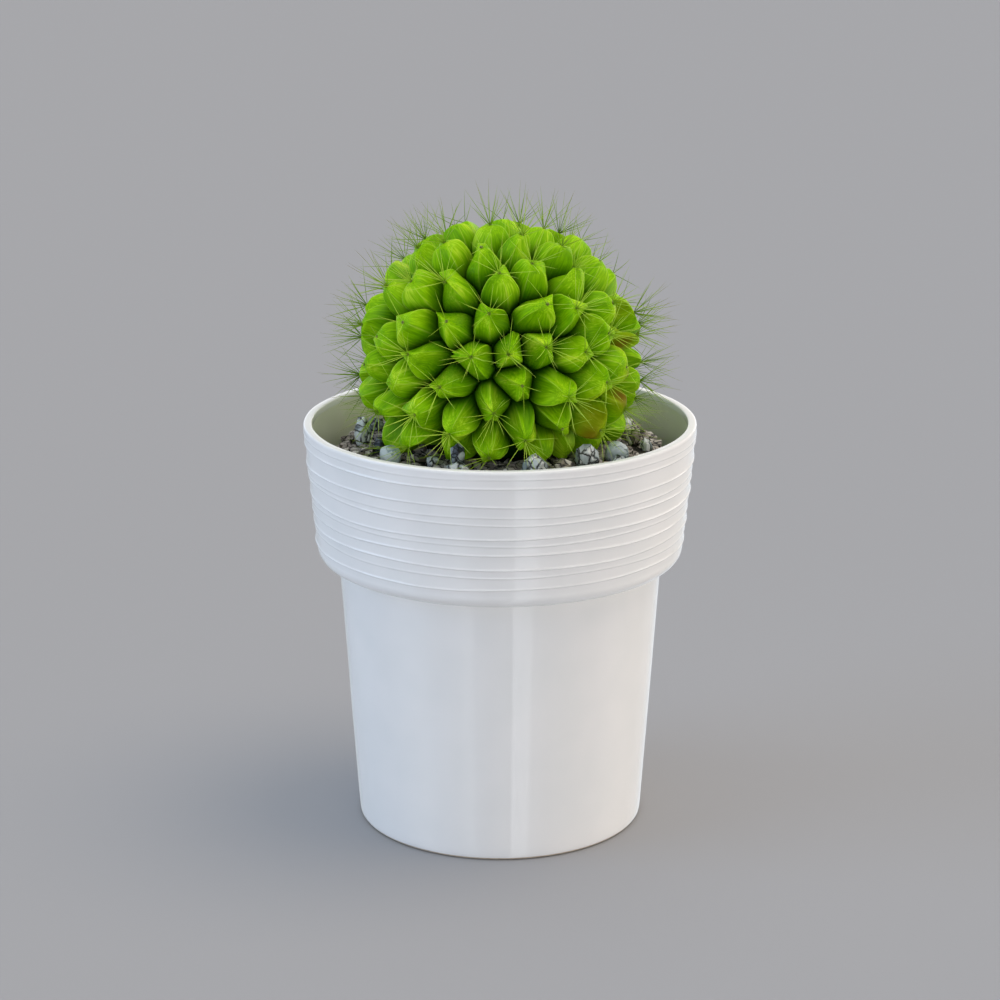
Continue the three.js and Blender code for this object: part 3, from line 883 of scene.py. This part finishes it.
# %% [markdown]
# ## The plant: each tubercle's own cell
#
# Neighbouring tubercles press together, so each fills its own cell of the ball, with a furrow on the border.
# The convex hull of the directions tells which ones are neighbours: each of its triangles gives one corner
# where three furrows meet. A tubercle has four edges, which start at four of its cell's corners.

# %% Find the cells
def add_mesh(name, points, faces=()):
    mesh = bpy.data.meshes.new(name)
    mesh.from_pydata(points, [], faces)
    return add_object(name, mesh)


def nearest_tubercle(direction):
    return min(range(TUBERCLES), key=lambda i: (tubercles[i]["outward"] - direction).length)


def hull_triangles():
    """The three tubercles at each corner where furrows meet, and the direction of that corner."""
    hull = add_mesh("directions", [one["outward"] for one in tubercles])
    open_mesh(hull)
    bpy.ops.mesh.convex_hull(join_triangles=False)
    close_mesh()
    mesh = hull.data
    triangles = [(tuple(face.vertices), face.normal.copy()) for face in mesh.polygons]
    order = [nearest_tubercle(vertex.co) for vertex in mesh.vertices]
    discard(hull)
    return [([order[v] for v in vertices], normal.normalized()) for vertices, normal in triangles]


def side_axes(outward):
    """Two directions square to outward, for measuring angles round it."""
    turn = UP.rotation_difference(outward)
    return turn @ Vector((1, 0, 0)), turn @ Vector((0, 1, 0))


def edge_steps(number, count):
    """Four of a cell's corners, as evenly spread as may be, from which an edge runs up to the tip."""
    first = int(count * draw(number, 15))
    starts = [k for k in range(count) if (k * 4) // count != ((k - 1) * 4) // count]
    return {2 * ((k + first) % count) for k in starts}


for one in tubercles:
    one["corners"] = []
for owners, corner in hull_triangles():
    for owner in owners:
        tubercles[owner]["corners"].append(corner)
for one in tubercles:
    across, upward = side_axes(one["outward"])
    one["corners"].sort(key=lambda corner: math.atan2(corner.dot(upward), corner.dot(across)))
    one["edges"] = edge_steps(one["number"], len(one["corners"]))
print("corners per cell:", sorted({len(one["corners"]) for one in tubercles}))

# %% [markdown]
# ## The plant: a cage for a tubercle
#
# A tubercle is a blunt, four-sided pyramid with flat sides, and edges that run from its tip down to corners
# of its cell. A cage for it is modelled once for each number of corners: a filled ring, extruded up four
# times and open below. The copies are fitted to their cells later.

# %% Model the cages
OUTLINE = [
    # distance back from the tip, and the share of the cell that is filled there
    (8.0, 0.95),
    (4.6, 0.82),
    (1.4, 0.55),
    (0.0, 0.31),
]


def extrude(step):
    bpy.ops.mesh.extrude_region_move(TRANSFORM_OT_translate={"value": step})


def model_cage(corners):
    cage = add_primitive("circle", f"cage_{corners}", vertices=2 * corners, radius=1, fill_type="NGON")
    open_mesh(cage)
    bpy.ops.mesh.select_mode(type="FACE")
    for level in OUTLINE:
        extrude((0, 0, 1))
    bpy.ops.mesh.select_all(action="DESELECT")
    bpy.ops.object.mode_set(mode="OBJECT")
    for face in cage.data.polygons:
        face.select = face.center.z < 0.1
    bpy.ops.object.mode_set(mode="EDIT")
    bpy.ops.mesh.delete(type="ONLY_FACE")
    close_mesh()
    return cage


cages = {count: model_cage(count) for count in {len(one["corners"]) for one in tubercles}}
print("faces of the cages:", {count: len(cage.data.polygons) for count, cage in cages.items()})

# %% [markdown]
# ## The plant: how a cage fits its cell
#
# The lowest ring of a cage lies at the bottom of the furrows. Neighbours work out the same places for it, so
# welding closes the skin. Each ring above it fills less of the cell, on some tubercles more and on some
# less, so that some are blunter and some more pointed. Higher up, the points between two edges lie on a
# straight line from one to the other, and on the youngest tubercles they are drawn in like a star.

# %% Work out where the cage's vertices belong
FURROW_RADIUS = 28.5
FURROW_RISE = 2.5  # a furrow's middle lies this much higher than the pits where three furrows meet
FURROW_RADIUS_BELOW = 32.0
HOLLOW = 0.6  # how much the youngest tubercles are drawn in between their edges
BLUNTNESS = 0.3  # how much blunter or more pointed than the rest a tubercle may be


def directions_round(corners):
    """The directions of a cell's corners, with those halfway from one to the next between them."""
    pairs = zip(corners, corners[1:] + corners[:1])
    return [direction for here, next_one in pairs for direction in (here, (here + next_one).normalized())]


def furrow_place(direction, between):
    """A point at the bottom of a furrow. Neighbours ask for the same direction, so they share the point."""
    below = float(smooth_step(0.4, 0.7, -direction.z))
    depth = FURROW_RADIUS + (FURROW_RADIUS_BELOW - FURROW_RADIUS) * below
    return plant_middle + direction * (depth + (FURROW_RISE * (1 - below) if between else 0))


def cage_place(one, row, step, directions):
    """Where one vertex of the cage belongs on its tubercle."""
    if row == 0:
        return furrow_place(directions[step], step % 2 == 1)
    outward, number = one["outward"], one["number"]
    back, fill = OUTLINE[row - 1]
    distance = one["reach"] - back
    middle = plant_middle + outward * distance + one["lean"] * (row / len(OUTLINE)) ** 2
    if row > 1 and step not in one["edges"]:
        count = len(directions)
        before = next(k for k in range(1, count) if (step - k) % count in one["edges"])
        after = next(k for k in range(1, count) if (step + k) % count in one["edges"])
        ends = [cage_place(one, row, (step + turn) % count, directions) for turn in (-before, after)]
        return ends[0].lerp(ends[1], before / (before + after)).lerp(middle, HOLLOW * one["youth"])
    fill *= 1 + BLUNTNESS * sway(number, 20) * (row - 1) / 3 + 0.06 * sway(number * 40 + step, 10)
    direction = directions[step]
    tangent = direction - outward * direction.dot(outward)
    return middle + tangent.normalized() * min(fill, 0.98) * distance * tangent.length


def flat_cell(one):
    """The skin under the plant carries no tubercle: a flat face between its furrows."""
    ring = [furrow_place(d, step % 2 == 1) * MM for step, d in enumerate(directions_round(one["corners"]))]
    return add_mesh("flat_cell", ring, [range(len(ring))])


print("the pits between tubercles are", round(PLANT_RADIUS - FURROW_RADIUS, 1), "mm deep")

# %% [markdown]
# ## The plant: its tubercles
#
# A copy of its cage is fitted to each cell. The four edges are creased, some softly and some sharply, which
# keeps them when subdivision rounds the rest. Two maps are written at the same time, for the skin's stripes:
# one says which way a point lies from the tubercle's middle line, and the other how far along it and on
# which edge.

# %% Fit a cage to each cell
TIP_WIDTH = 2.5  # nearer to a tubercle's middle line than this, its stripes run together


def step_of(place, corners):
    """Which step round the cage a place is: even at a corner, odd between two. A circle starts at +Y."""
    return round(math.atan2(-place.x, place.y) / (math.pi / corners)) % (2 * corners)


def crease_edges(fitted, one, steps):
    crease = fitted.data.attributes.new("crease_edge", "FLOAT", "EDGE")
    for edge in fitted.data.edges:
        a, b = edge.vertices
        if steps[a] == steps[b] and steps[a] in one["edges"]:
            sharp = 0.35 + 0.25 * draw(one["number"] * 20 + steps[a], 14)
            crease.data[edge.index].value = sharp * (1 - 0.5 * one["youth"])


def map_tubercle(fitted, one, rows, steps, places):
    axes = side_axes(one["outward"])
    own = 30 * Vector([draw(one["number"], use) for use in (12, 13)])
    round_it = fitted.data.uv_layers.new(name="round_tubercle")
    along_it = fitted.data.uv_layers.new(name="along_tubercle")
    for loop in fitted.data.loops:
        v = loop.vertex_index
        away = Vector([(places[v] - plant_middle).dot(axis) for axis in axes])
        round_it.data[loop.index].uv = away / max(away.length, TIP_WIDTH) + own
        along_it.data[loop.index].uv = (rows[v] / len(OUTLINE), steps[v] in one["edges"])


def fit_cage(one):
    count = len(one["corners"])
    fitted = copy_of(cages[count], f"tubercle_{one['number']}")
    directions = directions_round(one["corners"])
    rows = [round(vertex.co.z) for vertex in fitted.data.vertices]
    steps = [step_of(vertex.co, count) for vertex in fitted.data.vertices]
    places = [cage_place(one, row, step, directions) for row, step in zip(rows, steps)]
    for vertex, place in zip(fitted.data.vertices, places):
        vertex.co = place * MM
    crease_edges(fitted, one, steps)
    map_tubercle(fitted, one, rows, steps, places)
    return fitted


skin = [fit_cage(one) for one in grown_ones]
skin += [flat_cell(one) for one in tubercles if not one["grown"]]
flesh = join_into(skin, "cactus_flesh")
discard(*cages.values())
weld_and_face_out(flesh)
print("welded skin:", len(flesh.data.polygons), "faces")

# %% [markdown]
# The furrows are narrow folds with a sharp bottom. Their edges are creased in full before the whole skin is
# subdivided, so that they don't round off with the rest.

# %% Crease the furrows and subdivide
furrow_top = FURROW_RADIUS + FURROW_RISE + 0.1
in_furrow = [(vertex.co / MM - plant_middle).length < furrow_top for vertex in flesh.data.vertices]
open_mesh(flesh, "DESELECT")
bpy.ops.object.mode_set(mode="OBJECT")
for edge in flesh.data.edges:
    edge.select = all(in_furrow[v] for v in edge.vertices)
bpy.ops.object.mode_set(mode="EDIT")
bpy.ops.mesh.select_mode(type="EDGE")
bpy.ops.transform.edge_crease(value=1)
close_mesh()
apply_modifier(flesh, "SUBSURF", levels=2, render_levels=2)
print("flesh:", len(flesh.data.polygons), "faces")

# %% [markdown]
# The ball is cut off level with the soil. The widest face of the cut is the plant's own foot. It is drawn in
# and down, which makes the short neck that stands in its hole in the soil. A last, very small unevenness
# over the whole skin keeps the tubercles from looking cast.

# %% Cut the flesh level, add the neck and soften the skin
CUT_LEVEL = SOIL_TOP - 0.4
SKIN_SWELL = 0.45

cut_place = Vector((0, 0, CUT_LEVEL * MM))
open_mesh(flesh)
bpy.ops.mesh.bisect(plane_co=cut_place, plane_no=UP, use_fill=True, clear_inner=True, threshold=1e-6)
bpy.ops.mesh.select_all(action="DESELECT")
close_mesh()
level_faces = [face for face in flesh.data.polygons if abs(face.normal.z) > 0.99]
cut_faces = [face for face in level_faces if abs(face.center.z / MM - CUT_LEVEL) < 0.01]
widest = max(cut_faces, key=lambda face: face.area)
print("cut faces:", len(cut_faces), "widest", round(widest.area / MM**2), "mm2")

foot_reach = max(flesh.data.vertices[v].co.to_2d().length for v in widest.vertices) / MM
neck_top = (NECK_RADIUS - 0.2) / foot_reach
neck_bottom = (NECK_RADIUS - NECK_TAPER) / NECK_RADIUS
widest.select = True
bpy.ops.object.mode_set(mode="EDIT")
bpy.ops.mesh.select_mode(type="FACE")
for drop, narrow in ((0.0, neck_top), (NECK_DEPTH - 0.4, neck_bottom)):
    extrude((0, 0, -drop * MM))
    bpy.ops.transform.resize(value=(narrow, narrow, 1), center_override=cut_place)
close_mesh()

places = places_of(flesh)
above_soil = places[:, 2] > CUT_LEVEL + 0.5
swell = SKIN_SWELL * rough_noise(places, 0.16, 3) * above_soil
set_places(flesh, places + outward_from(places, np.array(plant_middle)) * swell[:, None])
shade(flesh)

# %% [markdown]
# ## Cactus skin
#
# The skin is a waxy cuticle over green flesh: a fresh yellow-green, with narrow lighter and darker stripes
# that run the length of each tubercle, a dark green painted down in the furrows as painted shade, and a
# little bronze where the sun has tanned it. Light goes a short way into the flesh, which brightens thin
# places, and the wax gives a soft sheen.
#
# The stripes follow each tubercle through its two maps. Noise that changes fast from way to way and slowly
# along makes stripes, from half a millimetre to several wide, that meet at the tip. The edges are a little
# paler: a painted highlight along them. Low down, each tubercle goes over to the painted shade in the
# furrows. The bronze is painted in soft round spots, one over the other.

# %% Make the skin
TANNED_SPOTS = [
    # the middle of a spot, and its radius
    ((37, -9, 162), 8),
    ((37, -14, 153), 8),
    ((37, -18, 146), 7),
    ((36, -20, 139), 8),
    ((29, -30, 137), 9),
    ((26, -32, 130), 10),
]
SKIN_GREENS = [(0.34, "#6aa403"), (0.45, "#84be04"), (0.55, "#9bd10b"), (0.68, "#cdee3c")]
# The first green is a painted highlight along the tubercles' edges, the second painted shade in the furrows.
PAINTED_EDGE_HIGHLIGHT, PAINTED_FURROW_SHADE = "#cfe65a", "#245c03"
TANNED = [(0.2, "#8f9a04"), (0.8, "#755f06")]
STRIPES_ALONG = 0.25  # how fast the stripes change along a tubercle
WIDE_STRIPES, NARROW_STRIPES = 0.8, 10.0  # how many there are to each way across


def share_of_distance(material, centre, near, far, **settings):
    """How far a point lies from a centre: 0 at the near distance and 1 at the far one, all in mm."""
    place = add_node(material, "TexCoord").outputs["Object"]
    away = add_node(material, "VectorMath", {0: place, 1: Vector(centre) * MM}, operation="DISTANCE")
    share = {"Value": away.outputs["Value"], "From Min": near * MM, "From Max": far * MM}
    return add_node(material, "MapRange", share, **settings)


def tanned_over(material, base):
    """The base colour with the bronze spots over it."""
    for spot, size in TANNED_SPOTS:
        tanned = share_of_distance(material, spot, size, 0, interpolation_type="SMOOTHSTEP")
        bronze = add_node(material, "ValToRGB", {0: tanned}, TANNED)
        base = add_node(material, "MixRGB", {"Fac": tanned, "Color1": base, "Color2": bronze})
    return base


def make_skin():
    material = start_nodes(bpy.data.materials.new("waxy_cactus_skin"))
    round_it = add_node(material, "UVMap", uv_map="round_tubercle")
    along_it = add_node(material, "UVMap", uv_map="along_tubercle")
    across = add_node(material, "SeparateXYZ", {0: round_it}).outputs
    along = add_node(material, "SeparateXYZ", {0: along_it}).outputs
    slow = add_node(material, "Math", {0: along["X"], 1: STRIPES_ALONG}, operation="MULTIPLY")
    way = add_node(material, "CombineXYZ", {"X": across["X"], "Y": across["Y"], "Z": slow})
    wide = add_node(material, "TexNoise", {"Vector": way, "Scale": WIDE_STRIPES, "Detail": 1.0})
    narrow = add_node(material, "TexNoise", {"Vector": way, "Scale": NARROW_STRIPES, "Detail": 3.0})
    stripes = add_node(material, "MixRGB", {"Fac": 0.5, "Color1": wide, "Color2": narrow})
    green = add_node(material, "ValToRGB", {0: stripes}, SKIN_GREENS)
    # A painted highlight: the skin is paler along the tubercle's four edges.
    edge = {"Value": along["Y"], "From Min": 0.86, "From Max": 1.0, "To Min": 0.0, "To Max": 0.4}
    edge = add_node(material, "MapRange", edge, interpolation_type="SMOOTHSTEP")
    edge_highlighted = add_node(material, "MixRGB", {"Fac": edge, "Color1": green, "Color2": colour(PAINTED_EDGE_HIGHLIGHT)})
    # Painted shade: the lowest part of each tubercle, down in the furrow, goes over to dark green.
    low = {"Value": along["X"], "From Min": 0.0, "From Max": 0.7, "To Min": 1.0, "To Max": 0.0}
    low = add_node(material, "MapRange", low, interpolation_type="SMOOTHSTEP")
    furrow_shaded = add_node(material, "MixRGB", {"Fac": low, "Color1": edge_highlighted, "Color2": colour(PAINTED_FURROW_SHADE)})
    bump = add_node(material, "Bump", {"Strength": 0.4, "Distance": 0.3 * MM, "Height": stripes})
    finish = {
        "Base Color": tanned_over(material, furrow_shaded),
        "Roughness": 0.48,
        "IOR": 1.42,
        "Specular IOR Level": 0.1,
        "Subsurface Weight": 0.08,
        "Subsurface Radius": (0.4, 1.0, 0.15),
        "Subsurface Scale": 1.5 * MM,
        "Normal": bump,
    }
    return finish_material(material, finish)


set_materials(flesh, make_skin())
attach(flesh, "root")
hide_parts("cactus")
print("skin:", flesh.data.materials[0].name, "with", len(TANNED_SPOTS), "tanned spots")

# %% [markdown]
# ## Areoles and spines
#
# Each tubercle ends in an areole, a small felted pad. Most carry a tuft of 12 to 18 thin, straight spines
# about 12 mm long, some standing out and the others leaning away all round. A spine is a slender cone,
# modelled once with a slight bend by extruding a small square three times, each time narrower.

# %% Model one spine and one areole
SPINE_LENGTH = 12.0
SPINE_THICKNESS = 0.2
SPINE_PARTS = [
    # for each part: its share of the length, how far it bends aside, and how much it narrows
    (0.4, 0.0, 0.9),
    (0.35, 0.015, 0.62),
    (0.25, 0.03, 0.12),
]
AREOLE_RADIUS = 0.55
AREOLE_FLATNESS = 0.45


def model_spine():
    spine = add_primitive("circle", "spine", vertices=4, radius=SPINE_THICKNESS / 2 * MM, fill_type="NGON")
    open_mesh(spine)
    bpy.ops.mesh.select_mode(type="FACE")
    for rise, bend, narrow in SPINE_PARTS:
        extrude(Vector((bend * SPINE_LENGTH, 0, rise * SPINE_LENGTH)) * MM)
        bpy.ops.transform.resize(value=(narrow, narrow, 1))
    close_mesh()
    weld_and_face_out(spine, distance=0.0001)
    return spine


def model_areole():
    areole = add_primitive("ico_sphere", "areole", subdivisions=2, radius=AREOLE_RADIUS * MM)
    open_mesh(areole)
    bpy.ops.transform.resize(value=(1, 1, AREOLE_FLATNESS))
    close_mesh()
    return areole


spine_model, areole_model = model_spine(), model_areole()
print("one spine:", len(spine_model.data.polygons), "faces")

# %% [markdown]
# Copies of the spine are turned into a fan on each areole. The golden angle spreads them evenly round it,
# and the later ones lean further out. About one areole in four has lost all but three of its spines. A spine
# that would run into the soil, a pebble or the pot's wall is left out.

# %% Set the fans on the tubercles
SPINE_ROOT = 1.2  # how much of a spine is sunk into the areole
BARE_SHARE = 0.25


def has_room(foot, direction, length):
    for share in (0.35, 0.55, 0.75, 0.9, 1):
        at = foot + direction * length * share
        in_wall = math.hypot(at.x, at.y) > RIM_RADIUS - 5 and at.z < POT_HEIGHT + 1
        if at.z < SOIL_TOP + 0.9 or in_wall:
            return False
        if any((at - middle).length < half + 0.5 for middle, half in pebble_balls):
            return False
    return True


def fan_spine(one, upright, tip, k, count, bare):
    """The k-th of the spines on a tubercle's tip, or None where it has no room."""
    item = one["number"] * 20 + k
    lean = math.radians(8 + (60 if bare else 50) * ((k + 0.5) / count) ** 0.75 + 8 * sway(item, 62))
    turn = k * GOLDEN_ANGLE + 0.35 * sway(item, 63) + 6 * draw(one["number"], 64)
    length = SPINE_LENGTH * (1 + 0.22 * sway(item, 65)) * (0.8 if bare else 1) + SPINE_ROOT
    aim = upright @ Matrix.Rotation(turn, 4, "Z") @ Matrix.Rotation(lean, 4, "Y")
    across, direction = aim.col[0].to_3d(), aim.col[2].to_3d()
    foot = tip + across * 0.25 * math.sin(lean) - direction * SPINE_ROOT
    if not has_room(foot, direction, length):
        return None
    spine = copy_of(spine_model, f"spine_{item}")
    own_turn = Matrix.Rotation(6.28 * draw(item, 66), 4, "Z")
    stretch = Matrix.Diagonal((1, 1, length / SPINE_LENGTH, 1))
    spine.data.transform(Matrix.Translation(foot * MM) @ aim @ own_turn @ stretch)
    return spine


spines, areoles = [], []
for one in grown_ones:
    number, outward = one["number"], one["outward"]
    tip = plant_middle + outward * (one["reach"] - 0.15) + one["lean"]
    upright = UP.rotation_difference(outward).to_matrix().to_4x4()
    pad = copy_of(areole_model, f"areole_{number}")
    pad.data.transform(Matrix.Translation(tip * MM) @ upright)
    areoles.append(pad)
    bare = draw(number, 60) < BARE_SHARE
    count = 3 if bare else 12 + int(7 * draw(number, 61))
    spines += [fan_spine(one, upright, tip, k, count, bare) for k in range(count)]
spines = join_into([spine for spine in spines if spine], "spines")
areoles = join_into(areoles, "areoles")
discard(spine_model, areole_model)
shade(spines, 60)
shade(areoles)
print("spines:", len(spines.data.polygons), "faces")

# %% [markdown]
# ## Spine and areole materials
#
# Spines are dry, horny and half translucent: yellow-green at the root, paler along the middle and a little
# brown at the point. How far along a spine a point lies follows from its distance from the middle of the
# plant. The youngest, near the growing point, are the palest, and the older ones further off are darker and
# greener. The areole is short felt, dark from age.

# %% Make the spine and areole materials
YOUNG_SPINE = [(0.0, "#82a81c"), (0.25, "#b8dc44"), (0.85, "#d0ec62"), (1.0, "#b5c04a")]
OLD_SPINE = [(0.0, "#5f8016"), (0.3, "#7a9a1c"), (0.8, "#97b030"), (1.0, "#8c8a30")]
FELT_TONES = [(0.35, "#3a4410"), (0.65, "#8a9a2c")]
FELT_GRAIN = 0.4
SPINE_REACH = 11  # how far most spines stand out from the ball
YOUNG_WITHIN, OLD_BEYOND = 40, 58  # distances from the growing point


def make_horn():
    material = start_nodes(bpy.data.materials.new("horny_spine"))
    along = share_of_distance(material, plant_middle, PLANT_RADIUS, PLANT_RADIUS + SPINE_REACH)
    young = add_node(material, "ValToRGB", {0: along}, YOUNG_SPINE)
    old = add_node(material, "ValToRGB", {0: along}, OLD_SPINE)
    growing_point = plant_middle + crown_axis * PLANT_RADIUS
    age = share_of_distance(material, growing_point, YOUNG_WITHIN, OLD_BEYOND)
    tone = add_node(material, "MixRGB", {"Fac": age, "Color1": young, "Color2": old})
    finish = {"Base Color": tone, "Roughness": 0.55, "IOR": 1.5, "Specular IOR Level": 0.15}
    return finish_material(material, finish)


felt_finish = {"Roughness": 0.9, "Sheen Weight": 0.3}
set_materials(spines, make_horn())
set_materials(areoles, make_grained("areole_felt", FELT_GRAIN, 3.0, FELT_TONES, None, felt_finish))
for piece in (spines, areoles):
    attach(piece, "root")
    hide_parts("cactus")
print("spine and areole materials:", [piece.data.materials[0].name for piece in (spines, areoles)])

# %% [markdown]
# ## The floor
#
# The pot stands on plain, matt grey paper that runs on past the edge of the picture. It isn't seen in the
# glaze, which shows the studio's walls and panels instead.

# %% Lay the floor
FLOOR_WIDTH = 24000

floor = add_primitive("plane", "floor", size=FLOOR_WIDTH * MM)
floor.visible_glossy = False
paper = start_nodes(bpy.data.materials.new("matt_grey_paper"))
paper_finish = {"Base Color": colour("#a9aaad"), "Roughness": 1.0, "Specular IOR Level": 0.0}
set_materials(floor, finish_material(paper, paper_finish))
print("floor:", floor.data.materials[0].name)

# %% [markdown]
# ## The light
#
# The studio is a room of soft light, drawn as a world whose colour depends on the direction alone. Above the
# horizon it is brightest low down, at its white walls, and dimmer and cooler on the left than on the right.
# It is dark at mid height, and bright again straight up, where a wide soft box hangs. Below the horizon only
# the glaze looks, because the floor hides that half from everything else. Upright panels stand there, round
# the room. One has a sharp left edge, which shows as the bright band on the front of the pot.

# %% Build the studio
WALL_LEFT, WALL_RIGHT, OVERHEAD = colour("#9ca6b5"), colour("#fff7f1"), colour("#f8fbff")
PANEL_LEFT, PANEL_RIGHT = colour("#f2f9ff"), colour("#fff1df")
DOME = [
    # how steeply the direction rises, from 0 for level to 1 for straight up, and the brightness there
    (0, 3.04),
    (0.5, 0.0),
    (1, 1.4),
]
PANELS = [
    # degrees to the right of the camera, and the brightness there
    # the dim wall behind and to the left
    (-180, 0.57),
    (-128, 0.5),
    (-95, 0.38),
    # a broad panel on the left, and the wall beside it
    (-72, 0.84),
    (-58, 0.9),
    (-52, 0.56),
    (-33, 0.58),
    # a narrow panel
    (-27, 1.0),
    (-22, 1.0),
    # the dark side of the room, round the camera
    (-18, 0.4),
    (-8, 0.25),
    (3, 0.5),
    # the main panel, with its sharp left edge
    (9.2, 0.5),
    (9.8, 2.1),
    (22.5, 2.0),
    (24.5, 1.0),
    # the white wall on the right, with one more panel
    (38, 0.68),
    (56, 0.9),
    (80, 0.88),
    (95, 1.25),
    (108, 1.15),
    (124, 0.9),
    (180, 0.95),
]

world = start_nodes(bpy.data.worlds.new("soft_studio"))


def brightness_along(value, points):
    """Brightness that follows straight lines between points, each a place and the brightness there."""
    low, high = points[0][0], points[-1][0]
    top = max(brightness for place, brightness in points)
    share = add_node(world, "MapRange", {"Value": value, "From Min": low, "From Max": high})
    node = add_node(world, "FloatCurve", {"Value": share})
    curve = node.mapping.curves[0]
    for place, brightness in points[1:-1]:
        curve.points.new((place - low) / (high - low), brightness / top)
    for point, (place, brightness) in zip(curve.points, points):
        point.location = ((place - low) / (high - low), brightness / top)
        point.handle_type = "VECTOR"
    node.mapping.update()
    return add_node(world, "Math", {0: node, 1: top}, operation="MULTIPLY")


def fade(value, low, high, first, second):
    """Goes over from one colour to another while a value rises from low to high."""
    share = add_node(world, "MapRange", {"Value": value, "From Min": low, "From Max": high})
    return add_node(world, "MixRGB", {"Fac": share, "Color1": first, "Color2": second})


sky = add_node(world, "TexCoord").outputs["Generated"]
to_right, to_back, upward = add_node(world, "SeparateXYZ", {0: sky}).outputs
to_front = add_node(world, "Math", {0: to_back, 1: -1.0}, operation="MULTIPLY")
bearing = add_node(world, "Math", {0: to_right, 1: to_front}, operation="ARCTAN2")
degrees = add_node(world, "Math", {0: bearing}, operation="DEGREES")
dome_tint = fade(upward, 0.45, 0.55, fade(to_right, -1, 1, WALL_LEFT, WALL_RIGHT), OVERHEAD)
panel_tint = fade(to_right, 0.3, 0.85, PANEL_LEFT, PANEL_RIGHT)
tint = fade(upward, -0.02, 0, panel_tint, dome_tint)
above_floor = add_node(world, "MapRange", {"Value": upward, "From Min": -0.02, "From Max": 0})
lights = {2: brightness_along(degrees, PANELS), 3: brightness_along(upward, DOME)}
light = add_node(world, "Mix", {0: above_floor, **lights})
background = add_node(world, "Background", {"Color": tint, "Strength": light})
add_node(world, "OutputWorld", {"Surface": background})
bpy.context.scene.world = world
print("studio:", len(PANELS), "points round the room")

# %% [markdown]
# Two far, wide lamps give the shadows their soft direction: a warm one high on the right, and a cool one low
# on the left.

# %% Hang the two lamps
LAMPS = [
    # name, direction it shines from, spread in degrees, power and tint
    ("warm_softbox", (0.45, 0.0, 1.0), 40, 0.73, "#ffe8cb"),
    ("cool_window", (-0.9, -0.2, 0.3), 45, 0.88, "#bcdbff"),
]

for name, direction, spread, power, tint_hex in LAMPS:
    lamp = bpy.data.lights.new(name, "SUN")
    lamp.angle = math.radians(spread)
    lamp.energy = power
    lamp.color = colour(tint_hex)[:3]
    holder = add_object(name, lamp)
    holder.location = Vector(direction) * 2
    holder.rotation_euler = Vector(direction).to_track_quat("Z", "Y").to_euler()
print("lamps:", [name for name, *_ in LAMPS])
